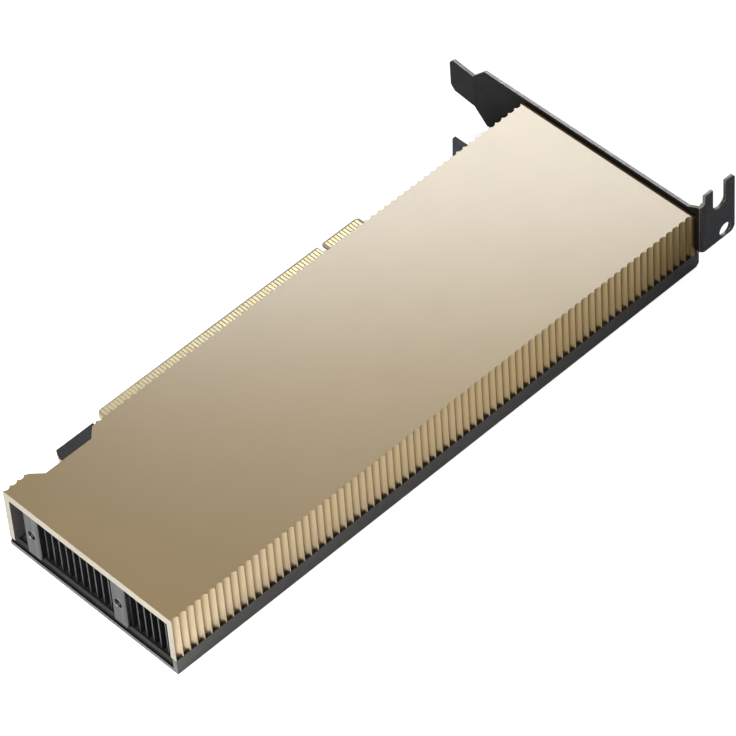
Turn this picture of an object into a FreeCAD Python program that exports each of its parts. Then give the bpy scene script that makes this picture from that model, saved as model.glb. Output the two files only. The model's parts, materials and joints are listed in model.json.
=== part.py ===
import FreeCAD, Part
import math
import os

import Sketcher
from FreeCAD import Placement, Rotation, Vector

# Low-profile passive accelerator card, lying with its fluted cover up.
# X runs from the open intake end to the bracket, Y points out of the edge connector and
# Z points out of the component side. The origin is at the key notch of the edge connector,
# on its leading edge, half way through the board. Heights called "over the board" start at
# the board's component side.

doc = FreeCAD.newDocument("AcceleratorCard")

DRIVING_SIZES = [
    # The card as a whole
    ("front_reach", 111.04, "key notch to the open intake end"),
    ("rear_reach", 58.14, "key notch to the inner face of the bracket plate"),
    ("card_height", 68.9, "leading edge of the contacts to the far side of the card"),
    ("cover_edge", 12.85, "leading edge of the contacts to the near side of the cover"),
    ("component_height", 14.45, "top of the cover over the board"),
    ("solder_height", 2.48, "bottom of the tray below the underside of the board"),
    ("seat_gap", 0.3, "clearance between an edge and the wall beside it"),
    # Circuit board
    ("board_thick", 1.57, "thickness of the board"),
    ("board_front", 88.3, "key notch to the front edge of the board"),
    ("shoulder_depth", 8.25, "leading edge of the contacts back to the board's shoulder"),
    ("tongue_long", 72.6, "key notch to the far end of the long row of contacts"),
    ("tongue_short", 12.6, "key notch to the far end of the short row of contacts"),
    ("tongue_chamfer", 1.0, "chamfer at the ends of the tongue"),
    ("key_width", 1.9, "width of the key notch"),
    ("key_depth", 5.65, "straight depth of the key notch"),
    ("hook_near", 75.6, "key notch to the near side of the retention hook"),
    ("hook_edge", 2.2, "leading edge of the contacts back to the hook's edge"),
    ("hook_chamfer", 1.2, "chamfer at the front of the hook, along the card"),
    ("hook_slope", 2.4, "the same chamfer across the card"),
    ("edge_bevel", 0.4, "bevel along the tongue's leading edge"),
    ("foot_side", 48.0, "key notch to the square side of the foot by the bracket"),
    ("foot_reach", 1.6, "foot beyond the leading edge of the contacts"),
    ("foot_tip", 1.0, "width of the foot's tip"),
    ("board_hole", 1.1, "radius of the screw holes in the board"),
    # Contacts
    ("contact_pitch", 1.0, "spacing of the contacts"),
    ("contact_first", 1.5, "key notch to the first contact on each side"),
    ("contact_width", 0.7, "width of a contact"),
    ("contact_length", 4.2, "length of a contact"),
    ("contact_inset", 0.75, "leading edge of the board to the contact"),
    ("contact_thick", 0.05, "thickness of the plating"),
    ("contacts_long", 71, "contacts in the long row"),
    ("contacts_short", 11, "contacts in the short row"),
    # Fluted cover
    ("top_wall", 2.2, "thickness of the cover's top"),
    ("side_wall", 1.8, "thickness of the cover's sides over the ridges"),
    ("ledge_height", 0.55, "bottom of the far side wall over the board"),
    ("flute_pitch", 2.207, "spacing of the flutes"),
    ("flute_width", 2.0, "width of a flute between its ridges"),
    ("flute_depth", 0.55, "depth of a flute"),
    ("flute_count", 76, "flutes along each side"),
    ("flute_chords", 3, "flats that make up a flute's round"),
    ("recess_front", 104.0, "key notch to the front of the latch recess"),
    ("recess_rear", 83.5, "key notch to the rear of the latch recess"),
    ("recess_depth", 3.2, "depth of the latch recess, whose ends slope by as much"),
    ("step_length", 1.45, "step along the whole rear edge of the top"),
    ("step_depth", 1.0, "depth of that step"),
    ("post_half", 1.9, "half the side of a screw post inside the cover"),
    ("post_inset", 1.7, "screw in a post from the inside of the wall"),
    ("front_post", -97.0, "screw post by the far wall, in front of the board"),
    ("near_post", -62.0, "screw post by the near wall"),
    # Tray
    ("floor_thick", 1.2, "thickness of the tray's floor"),
    ("tray_wall", 1.3, "thickness of the tray's walls"),
    ("tray_tail", 1.06, "far wall of the tray beyond the bracket's inner face"),
    ("tray_chamfer", 0.9, "chamfer under the rear end of the far wall"),
    ("lip_setback", 0.25, "front lip behind the front of the floor"),
    ("lip_thick", 0.85, "thickness of the front lip"),
    ("boss_half", 2.4, "half the side of a boss under the board"),
    # Screws
    ("screw_radius", 1.0, "radius of a screw's shank"),
    ("screw_hole", 1.1, "radius of a screw's clearance hole"),
    ("thread_hole", 1.0, "radius of the hole that takes a screw's thread"),
    ("head_radius", 1.9, "radius of a countersunk head"),
    ("screw_bite", 4.0, "thread inside the piece that a screw holds"),
    # Intake posts
    ("intake_width", 4.6, "width of an intake post"),
    ("intake_depth", 6.9, "length of an intake post into the card"),
    ("intake_inset", 0.1, "face of an intake post behind the cover's end"),
    ("intake_first", 21.22, "contacts' leading edge to the middle of the first intake post"),
    ("intake_spacing", 29.05, "spacing of the intake posts"),
    ("intake_chamfer", 0.35, "chamfer of an intake post's upright edges"),
    ("intake_hole_height", 5.5, "threaded hole of an intake post over the board"),
    ("intake_hole", 1.25, "radius of that threaded hole"),
    ("intake_hole_depth", 5.5, "depth of that threaded hole"),
    # Fin block and vapour chamber
    ("fin_pitch", 2.35, "spacing of the fins"),
    ("fin_thick", 0.4, "thickness of a fin"),
    ("fin_count", 21, "fins across the card"),
    ("fin_first", 64.7, "contacts' leading edge to the middle of the outermost fin"),
    ("fin_setback", 10.64, "inner face of the bracket plate to the rear of the fins"),
    ("fin_top_gap", 0.25, "fins below the cover's top wall"),
    ("fin_step", 89.3, "key notch to the step in front of the board"),
    ("front_base", 1.0, "base of the fins in front of the board"),
    ("rear_base", 0.7, "base of the fins on the vapour chamber"),
    ("chamber_low", 2.4, "underside of the vapour chamber over the board"),
    ("chamber_thick", 1.8, "thickness of the vapour chamber"),
    ("chamber_front", 84.0, "key notch to the front of the vapour chamber"),
    ("chamber_setback", 13.14, "inner face of the bracket plate to the vapour chamber"),
    ("chamber_far", 62.6, "contacts' leading edge to the far side of the vapour chamber"),
    ("chamber_near", 19.2, "contacts' leading edge to its near side"),
    # Processor and what lies round it
    ("chip_setback", 76.14, "inner face of the bracket plate to the middle of the processor"),
    ("chip_y", -41.0, "middle of the processor across the card"),
    ("package_size", 34.0, "side of the processor's package"),
    ("package_thick", 1.0, "thickness of the package"),
    ("die_length", 18.0, "length of the die"),
    ("die_width", 16.0, "width of the die"),
    ("die_thick", 0.75, "thickness of the die"),
    ("paste_thick", 0.1, "thickness of the thermal paste"),
    ("pedestal_size", 22.0, "side of the chamber's pedestal over the die"),
    ("stiffener_wall", 3.0, "width of the package's stiffener frame"),
    ("stiffener_thick", 0.6, "thickness of the stiffener frame"),
    ("anchor_pitch", 46.0, "spacing of the chamber's anchors along the card"),
    ("anchor_width", 36.0, "spacing of the anchors across the card"),
    ("anchor_radius", 2.2, "radius of an anchor"),
    ("spring_thick", 0.5, "thickness of the spring plate under the board"),
    ("spring_border", 4.5, "spring plate round the anchors"),
    ("spring_window", 26.0, "side of the spring plate's window"),
    ("low_head_radius", 2.0, "radius of the low heads under the spring plate"),
    ("low_head_height", 0.5, "height of those heads"),
    ("memory_length", 14.0, "length of a memory chip"),
    ("memory_width", 12.0, "width of a memory chip"),
    ("memory_thick", 1.15, "thickness of a memory chip"),
    ("memory_gap", 1.3, "gap between memory chips"),
    ("memory_offset", 33.0, "middle of a memory column from the middle of the processor"),
    ("coil_size", 6.4, "side of an inductor"),
    ("coil_thick", 2.1, "height of an inductor"),
    ("coil_pitch", 7.6, "spacing of the inductors"),
    ("coil_count", 5, "inductors in a row"),
    ("coil_gap", 2.0, "gap between the rear memory column and the inductors"),
    ("coil_row_y", -57.5, "first inductor across the card"),
    ("stage_length", 6.0, "length of a power stage"),
    ("stage_width", 5.0, "width of a power stage"),
    ("stage_thick", 0.85, "thickness of a power stage"),
    ("stage_gap", 1.2, "gap between an inductor and its power stage"),
    ("capacitor_length", 7.3, "length of a bulk capacitor"),
    ("capacitor_width", 4.3, "width of a bulk capacitor"),
    ("capacitor_thick", 1.9, "height of a bulk capacitor"),
    ("capacitor_gap", 1.4, "gap between a power stage and its capacitor"),
    ("controller_size", 7.0, "side of the power controller"),
    ("controller_thick", 0.9, "thickness of the power controller"),
    ("flash_length", 8.0, "length of the firmware memory"),
    ("flash_width", 5.3, "width of the firmware memory"),
    ("flash_thick", 1.8, "height of the firmware memory"),
    ("clock_length", 3.2, "length of the clock crystal"),
    ("clock_width", 2.5, "width of the clock crystal"),
    ("clock_thick", 0.8, "height of the clock crystal"),
    ("sheet_thick", 0.2, "thickness of the insulating sheet"),
    # Bracket
    ("plate_thick", 0.86, "thickness of the bracket's sheet"),
    ("plate_width", 18.42, "width of the bracket"),
    ("plate_lift", 0.6, "lower edge of the bracket plate over the tray's bottom"),
    ("plate_end", 0.9, "bracket's full width beyond the contacts' leading edge"),
    ("tail_width", 10.19, "width of the tail"),
    ("tail_reach", 13.8, "tip of the tail beyond the contacts' leading edge"),
    ("tail_bend", 0.7, "tip of the tail bent outwards"),
    ("tail_chamfer", 1.4, "corners of the tail"),
    ("tab_side", 70.9, "contacts' leading edge to the outer face of the fold-over tab"),
    ("tab_depth", 11.43, "depth of the tab from the inner face of the plate"),
    ("tab_low", 2.0, "lower edge of the tab over the board"),
    ("bend_radius", 0.3, "inside radius of the tab's bend"),
    ("tab_hole_x", 8.1, "hole in the tab from the inner face of the plate"),
    ("tab_hole_height", 4.3, "hole in the tab over the board"),
    ("tab_hole", 1.95, "radius of the hole in the tab"),
    ("tab_corner", 1.8, "radius of the tab's lower corner"),
    ("ramp_length", 3.4, "slope of the plate's upper edge up to the tab, across the card"),
    ("ramp_rise", 1.8, "rise of that slope"),
    ("relief_rise", 1.4, "slope of the inner prong above the bend"),
    ("notch_x", 6.1, "screw notch in the tab from the inner face of the plate"),
    ("notch_width", 4.42, "width of the screw notch"),
    ("notch_height", 15.2, "centre of the notch's round end over the board"),
    ("prong_radius", 1.0, "corners of the prongs beside the notch"),
    ("flange_length", 7.6, "length of a flange on the board"),
    ("flange_width", 7.8, "width of a flange"),
    ("vent_pitch", 3.4, "spacing of the exhaust slots"),
    ("vent_count", 15, "exhaust slots"),
    ("vent_width", 2.3, "width of an exhaust slot"),
    ("vent_height", 8.8, "height of an exhaust slot"),
    ("vent_first", -65.0, "first exhaust slot across the card"),
    ("vent_low", 3.0, "lower end of the exhaust slots over the board"),
]


class Size:
    """A length that keeps its number and the sheet formula behind it."""

    def __init__(self, number, formula):
        self.number = float(number)
        self.formula = formula

    def __add__(self, other):
        return join(self, "+", other)

    def __radd__(self, other):
        return join(other, "+", self)

    def __sub__(self, other):
        return join(self, "-", other)

    def __rsub__(self, other):
        return join(other, "-", self)

    def __mul__(self, other):
        return join(self, "*", other)

    def __rmul__(self, other):
        return join(other, "*", self)

    def __truediv__(self, other):
        return join(self, "/", other)

    def __neg__(self):
        return join(0, "-", self)


def as_size(value):
    """A Size as it is, or a plain number made into one."""
    if isinstance(value, Size):
        return value
    return Size(value, repr(float(value)))


def join(left, sign, right):
    """The sum, difference, product or quotient of two sizes."""
    first = as_size(left)
    second = as_size(right)
    formula = f"({first.formula} {sign} {second.formula})"
    if sign == "+":
        return Size(first.number + second.number, formula)
    if sign == "-":
        return Size(first.number - second.number, formula)
    if sign == "*":
        return Size(first.number * second.number, formula)
    return Size(first.number / second.number, formula)


def make_sheet():
    """The spreadsheet of driving sizes, and those sizes by name."""
    sheet = doc.addObject("Spreadsheet::Sheet", "Sizes")
    named = {}
    for row, (name, number, meaning) in enumerate(DRIVING_SIZES, start=1):
        sheet.set(f"A{row}", name)
        sheet.set(f"B{row}", str(number))
        sheet.set(f"C{row}", meaning)
        sheet.setAlias(f"B{row}", name)
        named[name] = Size(number, f"Sizes.{name}")
    doc.recompute()
    return named


class Sizes:
    """The driving sizes as attributes, with the heights and edges that follow from them."""

    def __init__(self, named):
        self.__dict__.update(named)
        self.board_top = self.board_thick / 2
        self.board_under = -self.board_top
        self.front = -self.front_reach
        self.far = -self.card_height
        self.near = -self.cover_edge
        self.cover_top = self.board_top + self.component_height
        self.ceiling = self.cover_top - self.top_wall
        self.ledge = self.board_top + self.ledge_height
        self.tray_bottom = self.board_under - self.solder_height
        self.tray_floor = self.tray_bottom + self.floor_thick
        self.far_inside = self.far + self.side_wall
        self.near_inside = self.near - self.side_wall
        self.far_post_y = self.far_inside + self.post_inset
        self.near_post_y = self.near_inside - self.post_inset
        self.chamber_under = self.board_top + self.chamber_low
        self.chamber_top = self.chamber_under + self.chamber_thick
        self.fin_front = self.front + self.lip_setback + self.lip_thick + self.seat_gap
        self.fin_top = self.ceiling - self.fin_top_gap
        self.plate_outer = self.rear_reach + self.plate_thick
        self.fin_rear = self.rear_reach - self.fin_setback
        self.chamber_rear = self.rear_reach - self.chamber_setback
        self.chip_x = self.rear_reach - self.chip_setback
        self.memory_rear = self.chip_x + self.memory_offset + self.memory_length / 2
        self.coil_row_x = self.memory_rear + self.coil_gap
        self.plate_low = self.tray_bottom + self.plate_lift
        self.plate_top = self.plate_low + self.plate_width
        self.tab_bottom = self.board_top + self.tab_low
        self.tab_top = self.tab_bottom + self.plate_width
        self.recess_floor = self.near - self.recess_depth
        self.screw_tip = self.board_top + self.screw_bite


s = Sizes(make_sheet())

# A wall that turns by 45 degrees is mitred by half that angle.
MITRE = math.tan(math.radians(45) / 2)
COUNTERSINK = 45

# The flats of a hexagon lie nearer its middle than its corners, by this share.
HEXAGON_FLAT = math.sqrt(3) / 2


def bind(thing, path, size):
    """Tie one property of an object to the sheet."""
    thing.setExpression(path, as_size(size).formula)


def place(thing, x, y, z):
    """Tie an object's place to the sheet."""
    bind(thing, "Placement.Base.x", x)
    bind(thing, "Placement.Base.y", y)
    bind(thing, "Placement.Base.z", z)


def new_body(label):
    """An empty body with a label of its own."""
    body = doc.addObject("PartDesign::Body", label)
    body.Label = label
    body.AllowCompound = True
    return body


def new_sketch(body, plane, offset):
    """A sketch on one of the body's own origin planes, moved along the plane's normal."""
    sketch = body.newObject("Sketcher::SketchObject", "Outline")
    origin_plane = [item for item in body.Origin.OriginFeatures if item.Role == plane][0]
    sketch.AttachmentSupport = (origin_plane, [""])
    sketch.MapMode = "FlatFace"
    bind(sketch, "AttachmentOffset.Base.z", offset)
    return sketch


def constrain(sketch, kind, item, point, size):
    """One dimension of a sketch, tied to the sheet."""
    value = as_size(size)
    if point is None:
        index = sketch.addConstraint(Sketcher.Constraint(kind, item, value.number))
    else:
        index = sketch.addConstraint(Sketcher.Constraint(kind, item, point, value.number))
    bind(sketch, f"Constraints[{index}]", value)


def add_polygon(sketch, points):
    """A closed outline of straight lines through points given as pairs of sizes."""
    corners = [Vector(as_size(x).number, as_size(y).number, 0) for x, y in points]
    lines = []
    for start, end in zip(corners, corners[1:] + corners[:1]):
        lines.append(sketch.addGeometry(Part.LineSegment(start, end), False))
    for line, following in zip(lines, lines[1:] + lines[:1]):
        sketch.addConstraint(Sketcher.Constraint("Coincident", line, 2, following, 1))
    for line, (x, y) in zip(lines, points):
        constrain(sketch, "DistanceX", line, 1, x)
        constrain(sketch, "DistanceY", line, 1, y)


def add_rectangle(sketch, x_low, y_low, x_high, y_high):
    """An upright rectangle between two corners."""
    add_polygon(sketch, [(x_low, y_low), (x_high, y_low), (x_high, y_high), (x_low, y_high)])


def add_circle(sketch, x, y, radius):
    """A circle round a point."""
    middle = Vector(as_size(x).number, as_size(y).number, 0)
    upward = Vector(0, 0, 1)
    circle = sketch.addGeometry(Part.Circle(middle, upward, as_size(radius).number), False)
    constrain(sketch, "DistanceX", circle, 3, x)
    constrain(sketch, "DistanceY", circle, 3, y)
    constrain(sketch, "Radius", circle, None, radius)


def add_slot(sketch, x, y_low, y_high, radius):
    """An upright slot with round ends, between the centres of its two ends."""
    low = Vector(as_size(x).number, as_size(y_low).number, 0)
    high = Vector(as_size(x).number, as_size(y_high).number, 0)
    side = Vector(as_size(radius).number, 0, 0)
    upward = Vector(0, 0, 1)
    top_circle = Part.Circle(high, upward, side.x)
    low_circle = Part.Circle(low, upward, side.x)
    top = sketch.addGeometry(Part.ArcOfCircle(top_circle, 0, math.pi), False)
    bottom = sketch.addGeometry(Part.ArcOfCircle(low_circle, math.pi, 2 * math.pi), False)
    left = sketch.addGeometry(Part.LineSegment(high - side, low - side), False)
    right = sketch.addGeometry(Part.LineSegment(low + side, high + side), False)
    sketch.addConstraint(Sketcher.Constraint("Tangent", top, 2, left, 1))
    sketch.addConstraint(Sketcher.Constraint("Tangent", left, 2, bottom, 1))
    sketch.addConstraint(Sketcher.Constraint("Tangent", bottom, 2, right, 1))
    sketch.addConstraint(Sketcher.Constraint("Tangent", right, 2, top, 1))
    constrain(sketch, "DistanceX", top, 3, x)
    constrain(sketch, "DistanceY", top, 3, y_high)
    constrain(sketch, "DistanceX", bottom, 3, x)
    constrain(sketch, "DistanceY", bottom, 3, y_low)
    constrain(sketch, "Radius", top, None, radius)


def pad(body, sketch, length, backwards=False):
    """Add the sketch's outline to the body, along its plane's normal."""
    feature = body.newObject("PartDesign::Pad", "Pad")
    feature.Profile = sketch
    feature.Reversed = backwards
    bind(feature, "Length", length)
    return feature


def pocket(body, sketch, length, backwards=False):
    """Cut the sketch's outline out of the body, against its plane's normal."""
    feature = body.newObject("PartDesign::Pocket", "Pocket")
    feature.Profile = sketch
    feature.Reversed = backwards
    bind(feature, "Length", length)
    return feature


def repeat(body, features, axis, pitch, count, backwards=False):
    """Repeat features in a row along one of the body's own axes."""
    pattern = body.newObject("PartDesign::LinearPattern", "Row")
    pattern.Originals = features
    origin_axis = [item for item in body.Origin.OriginFeatures if item.Role == axis][0]
    pattern.Direction = (origin_axis, [""])
    pattern.Reversed = backwards
    pattern.Refine = False
    bind(pattern, "Length", pitch * (count - 1))
    bind(pattern, "Occurrences", count)
    body.Tip = pattern
    return pattern


def pad_hexagons(body, centres, radius, low, high):
    """Add upright six-sided posts to a body."""
    sketch = new_sketch(body, "XY_Plane", low)
    flat = radius * HEXAGON_FLAT
    for x, y in centres:
        add_polygon(sketch, [
            (x + radius, y),
            (x + radius / 2, y + flat),
            (x - radius / 2, y + flat),
            (x - radius, y),
            (x - radius / 2, y - flat),
            (x + radius / 2, y - flat),
        ])
    return pad(body, sketch, as_size(high) - low)


def cut_box(body, low, high):
    """Cut a box between two corners out of a body."""
    sketch = new_sketch(body, "XY_Plane", high[2])
    add_rectangle(sketch, low[0], low[1], high[0], high[1])
    return pocket(body, sketch, as_size(high[2]) - low[2])


def pad_box(body, low, high):
    """Add a box between two corners to a body."""
    sketch = new_sketch(body, "XY_Plane", low[2])
    add_rectangle(sketch, low[0], low[1], high[0], high[1])
    return pad(body, sketch, as_size(high[2]) - low[2])


def pad_round(body, centres, radius, low, high):
    """Add upright round posts to a body."""
    sketch = new_sketch(body, "XY_Plane", low)
    for x, y in centres:
        add_circle(sketch, x, y, radius)
    return pad(body, sketch, as_size(high) - low)


def cut_round(body, centres, radius, low, high):
    """Cut upright round holes into a body."""
    sketch = new_sketch(body, "XY_Plane", high)
    for x, y in centres:
        add_circle(sketch, x, y, radius)
    return pocket(body, sketch, as_size(high) - low)


def block(label, low, lengths):
    """A plain box with its lowest corner and its three lengths tied to the sheet."""
    box = doc.addObject("Part::Box", label)
    box.Label = label
    bind(box, "Length", lengths[0])
    bind(box, "Width", lengths[1])
    bind(box, "Height", lengths[2])
    place(box, low[0], low[1], low[2])
    return box


def group(label, pieces):
    """Several like solids under one label."""
    compound = doc.addObject("Part::Compound", label)
    compound.Label = label
    compound.Links = pieces
    return compound


def edges_where(feature, test):
    """The names of the feature's edges whose middle and direction pass a test."""
    names = []
    for number, edge in enumerate(feature.Shape.Edges, start=1):
        start = edge.Vertexes[0].Point
        end = edge.Vertexes[-1].Point
        if test((start + end) / 2, end - start):
            names.append(f"Edge{number}")
    return names


def close_to(point, x=None, y=None, z=None):
    """Whether a point lies at the given coordinates, leaving out those not given."""
    reach = 0.01
    wanted = zip((point.x, point.y, point.z), (x, y, z))
    return all(size is None or abs(at - size.number) < reach for at, size in wanted)


def dress(body, kind, feature, names, size):
    """Fillet or chamfer named edges of a feature."""
    edge_work = body.newObject(f"PartDesign::{kind}", kind)
    edge_work.Base = (feature, names)
    bind(edge_work, "Radius" if kind == "Fillet" else "Size", size)
    doc.recompute()
    return edge_work


def flange_places():
    """Where the cover's rear screws stand, which also hold the bracket's two flanges."""
    x = s.rear_reach - s.flange_length / 2
    return [(x, s.far_post_y), (x, s.near_post_y)]


def board_places():
    """Where the cover's screws go through the board, as pairs of sizes."""
    return [(s.near_post, s.near_post_y), *flange_places()]


def screw_places():
    """Where all of the cover's screws stand."""
    return [(s.front_post, s.far_post_y), *board_places()]


def intake_places():
    """Where the screws of the intake posts stand."""
    x = s.front + s.intake_inset + s.intake_depth / 2
    return [(x, -s.intake_first), (x, -s.intake_first - s.intake_spacing)]


def anchor_places():
    """Where the vapour chamber's four anchors stand round the processor."""
    places = []
    for along in (-1, 1):
        for across in (-1, 1):
            x = s.chip_x + s.anchor_pitch / 2 * along
            y = s.chip_y + s.anchor_width / 2 * across
            places.append((x, y))
    return places


def recess_outline(grow, beyond):
    """The latch recess in the near side, grown by a wall and run out past the edge."""
    slope = s.recess_depth + grow + beyond
    inner = s.near - s.recess_depth - grow
    widen = grow * MITRE
    front = -s.recess_front - widen
    rear = -s.recess_rear + widen
    return [
        (front - beyond, inner + slope),
        (front + s.recess_depth, inner),
        (rear - s.recess_depth, inner),
        (rear + beyond, inner + slope),
    ]


def flute_outline(wall, inwards):
    """The first flute's hollow section, run out past the face of the wall it is cut in."""
    middle = s.front + s.flute_pitch / 2
    chords = int(s.flute_chords.number)
    points = []
    for corner in range(chords + 1):
        share = 2 * corner / chords - 1
        points.append((middle + s.flute_width / 2 * share,
                       wall + s.flute_depth * (1 - share * share) * inwards))
    outside = wall - s.flute_depth * inwards
    points.append((middle + s.flute_width / 2, outside))
    points.append((middle - s.flute_width / 2, outside))
    return points


def post_box(x, y):
    """A screw post's sides, from the cover's wall round the screw at x and y."""
    if y is s.far_post_y:
        return (x - s.post_half, s.far_inside), (x + s.post_half, y + s.post_half)
    return (x - s.post_half, y - s.post_half), (x + s.post_half, s.near_inside)


def make_cover():
    """The champagne cover: an open-ended channel with concave flutes down both sides."""
    body = new_body("fluted_cover")
    pad_box(body, (s.front, s.far, s.board_under), (s.rear_reach, s.near, s.cover_top))
    full_height = s.cover_top - s.board_under
    beyond = s.seat_gap
    sketch = new_sketch(body, "XY_Plane", s.cover_top)
    add_polygon(sketch, recess_outline(0, beyond))
    pocket(body, sketch, full_height)
    widen = s.side_wall * MITRE
    sketch = new_sketch(body, "XY_Plane", s.board_under)
    add_polygon(sketch, [
        (s.front - beyond, s.far_inside),
        (s.rear_reach + beyond, s.far_inside),
        (s.rear_reach + beyond, s.near_inside),
        (widen - s.recess_rear, s.near_inside),
        (widen - s.recess_rear - s.recess_depth, s.near_inside - s.recess_depth),
        (-s.recess_front + s.recess_depth - widen, s.near_inside - s.recess_depth),
        (-s.recess_front - widen, s.near_inside),
        (s.front - beyond, s.near_inside),
    ])
    pocket(body, sketch, s.ceiling - s.board_under, backwards=True)
    cut_box(body, (s.front - beyond, s.far - beyond, s.board_under - beyond),
            (s.rear_reach + beyond, s.far_inside + beyond, s.ledge))
    cut_box(body, (-s.board_front - s.seat_gap, s.near_inside - s.recess_depth - beyond,
                   s.board_under - beyond),
            (s.rear_reach + beyond, s.near + beyond, s.board_top))
    cut_box(body, (s.rear_reach - s.step_length, s.far - beyond, s.cover_top - s.step_depth),
            (s.rear_reach + beyond, s.near + beyond, s.cover_top + beyond))
    flange_top = s.board_top + s.plate_thick
    feet = [s.board_under, s.board_top, flange_top, flange_top]
    for (x, y), foot in zip(screw_places(), feet):
        low, high = post_box(x, y)
        pad_box(body, (*low, foot), (*high, s.ceiling))
    cut_round(body, screw_places(), s.thread_hole, s.board_under, s.screw_tip + beyond)
    for wall, inwards in ((s.far, 1), (s.near, -1)):
        sketch = new_sketch(body, "XY_Plane", s.cover_top)
        add_polygon(sketch, flute_outline(wall, inwards))
        flute = pocket(body, sketch, full_height)
        repeat(body, [flute], "X_Axis", s.flute_pitch, s.flute_count)
    return body


def make_tray():
    """The dark tray under the board, whose far wall shows below the flutes."""
    body = new_body("backplate_tray")
    beyond = s.seat_gap
    pad_box(body, (s.front, s.far, s.tray_bottom), (s.rear_reach, s.near, s.tray_floor))
    rear_end = s.rear_reach + s.tray_tail
    pad_box(body, (s.front, s.far, s.tray_bottom), (rear_end, s.far + s.tray_wall, s.ledge))
    pad_box(body, (s.front + s.lip_setback, s.far, s.tray_floor),
            (s.front + s.lip_setback + s.lip_thick, s.near, s.board_under))
    pad_box(body, (s.front + s.lip_setback, s.near - s.tray_wall, s.tray_floor),
            (s.rear_reach, s.near, s.board_under))
    for _, middle in intake_places():
        half = s.intake_width / 2
        pad_box(body, (s.front + s.lip_setback, middle - half, s.tray_floor),
                (s.front + s.intake_inset + s.intake_depth, middle + half, s.board_under))
    for x, y in screw_places():
        pad_box(body, (x - s.boss_half, y - s.boss_half, s.tray_floor),
                (x + s.boss_half, y + s.boss_half, s.board_under))
    sketch = new_sketch(body, "XY_Plane", s.ledge)
    add_polygon(sketch, recess_outline(0, beyond))
    pocket(body, sketch, s.ledge - s.tray_bottom)
    holes = screw_places() + intake_places()
    shanks = cut_round(body, holes, s.screw_hole, s.tray_bottom, s.ledge)
    doc.recompute()
    rims = edges_where(shanks, lambda middle, run: close_to(middle, z=s.tray_bottom)
                       and run.Length < s.seat_gap.number)
    dress(body, "Chamfer", shanks, rims, s.head_radius - s.screw_hole)
    corner = edges_where(body.Tip, lambda middle, run: close_to(middle, x=rear_end,
                                                                z=s.tray_bottom))
    dress(body, "Chamfer", body.Tip, corner, s.tray_chamfer)
    return body


def make_board():
    """The circuit board with its keyed tongue, retention hook and foot."""
    body = new_body("circuit_board")
    far_edge = s.far + s.tray_wall + s.seat_gap
    rear_edge = s.rear_reach - s.seat_gap
    shoulder = -s.shoulder_depth
    foot_slope = s.foot_reach + s.shoulder_depth
    near_far = s.recess_floor - s.side_wall
    sketch = new_sketch(body, "XY_Plane", s.board_under)
    add_polygon(sketch, [
        (-s.board_front, far_edge),
        (rear_edge, far_edge),
        (rear_edge, shoulder),
        (s.foot_side, shoulder),
        (s.foot_side, s.foot_reach),
        (s.foot_side - s.foot_tip, s.foot_reach),
        (s.foot_side - s.foot_tip - foot_slope, shoulder),
        (s.tongue_short, shoulder),
        (s.tongue_short, -s.tongue_chamfer),
        (s.tongue_short - s.tongue_chamfer, 0),
        (-s.tongue_long + s.tongue_chamfer, 0),
        (-s.tongue_long, -s.tongue_chamfer),
        (-s.tongue_long, shoulder),
        (-s.hook_near, shoulder),
        (-s.hook_near, -s.hook_edge),
        (-s.board_front + s.hook_chamfer, -s.hook_edge),
        (-s.board_front, -s.hook_edge - s.hook_slope),
        (-s.board_front, near_far),
    ])
    blank = pad(body, sketch, s.board_thick)
    doc.recompute()
    leading = edges_where(blank, lambda middle, run: close_to(middle, y=as_size(0)))
    dress(body, "Chamfer", blank, leading, s.edge_bevel)
    key_half = s.key_width / 2
    sketch = new_sketch(body, "XY_Plane", s.board_top)
    add_slot(sketch, 0, -s.key_depth, s.key_width, key_half)
    pocket(body, sketch, s.board_thick)
    cut_round(body, board_places() + anchor_places(), s.board_hole, s.board_under, s.board_top)
    return body


def make_contacts(label, low):
    """One face's two rows of plated contacts."""
    body = new_body(label)
    near_end = -s.contact_inset
    far_end = near_end - s.contact_length
    half = s.contact_width / 2
    rows = ((s.contact_first, s.contacts_short, False), (-s.contact_first, s.contacts_long, True))
    for middle, count, backwards in rows:
        sketch = new_sketch(body, "XY_Plane", low)
        add_rectangle(sketch, middle - half, far_end, middle + half, near_end)
        first = pad(body, sketch, s.contact_thick)
        repeat(body, [first], "X_Axis", s.contact_pitch, count, backwards)
    return body


def make_intake_post(label, middle):
    """A machined post at the intake end, threaded from the front and from below."""
    body = new_body(label)
    face = s.front + s.intake_inset
    half = s.intake_width / 2
    blank = pad_box(body, (face, middle - half, s.board_under),
                    (face + s.intake_depth, middle + half, s.ceiling))
    doc.recompute()
    upright = edges_where(blank, lambda point, run: close_to(point, x=face)
                          and abs(run.z) > run.Length / 2)
    dress(body, "Chamfer", blank, upright, s.intake_chamfer)
    height = s.board_top + s.intake_hole_height
    sketch = new_sketch(body, "YZ_Plane", face)
    add_circle(sketch, middle, height, s.intake_hole)
    pocket(body, sketch, s.intake_hole_depth, backwards=True)
    centre = face + s.intake_depth / 2
    cut_round(body, [(centre, middle)], s.thread_hole, s.board_under,
              s.screw_tip + s.seat_gap)
    return body


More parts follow.
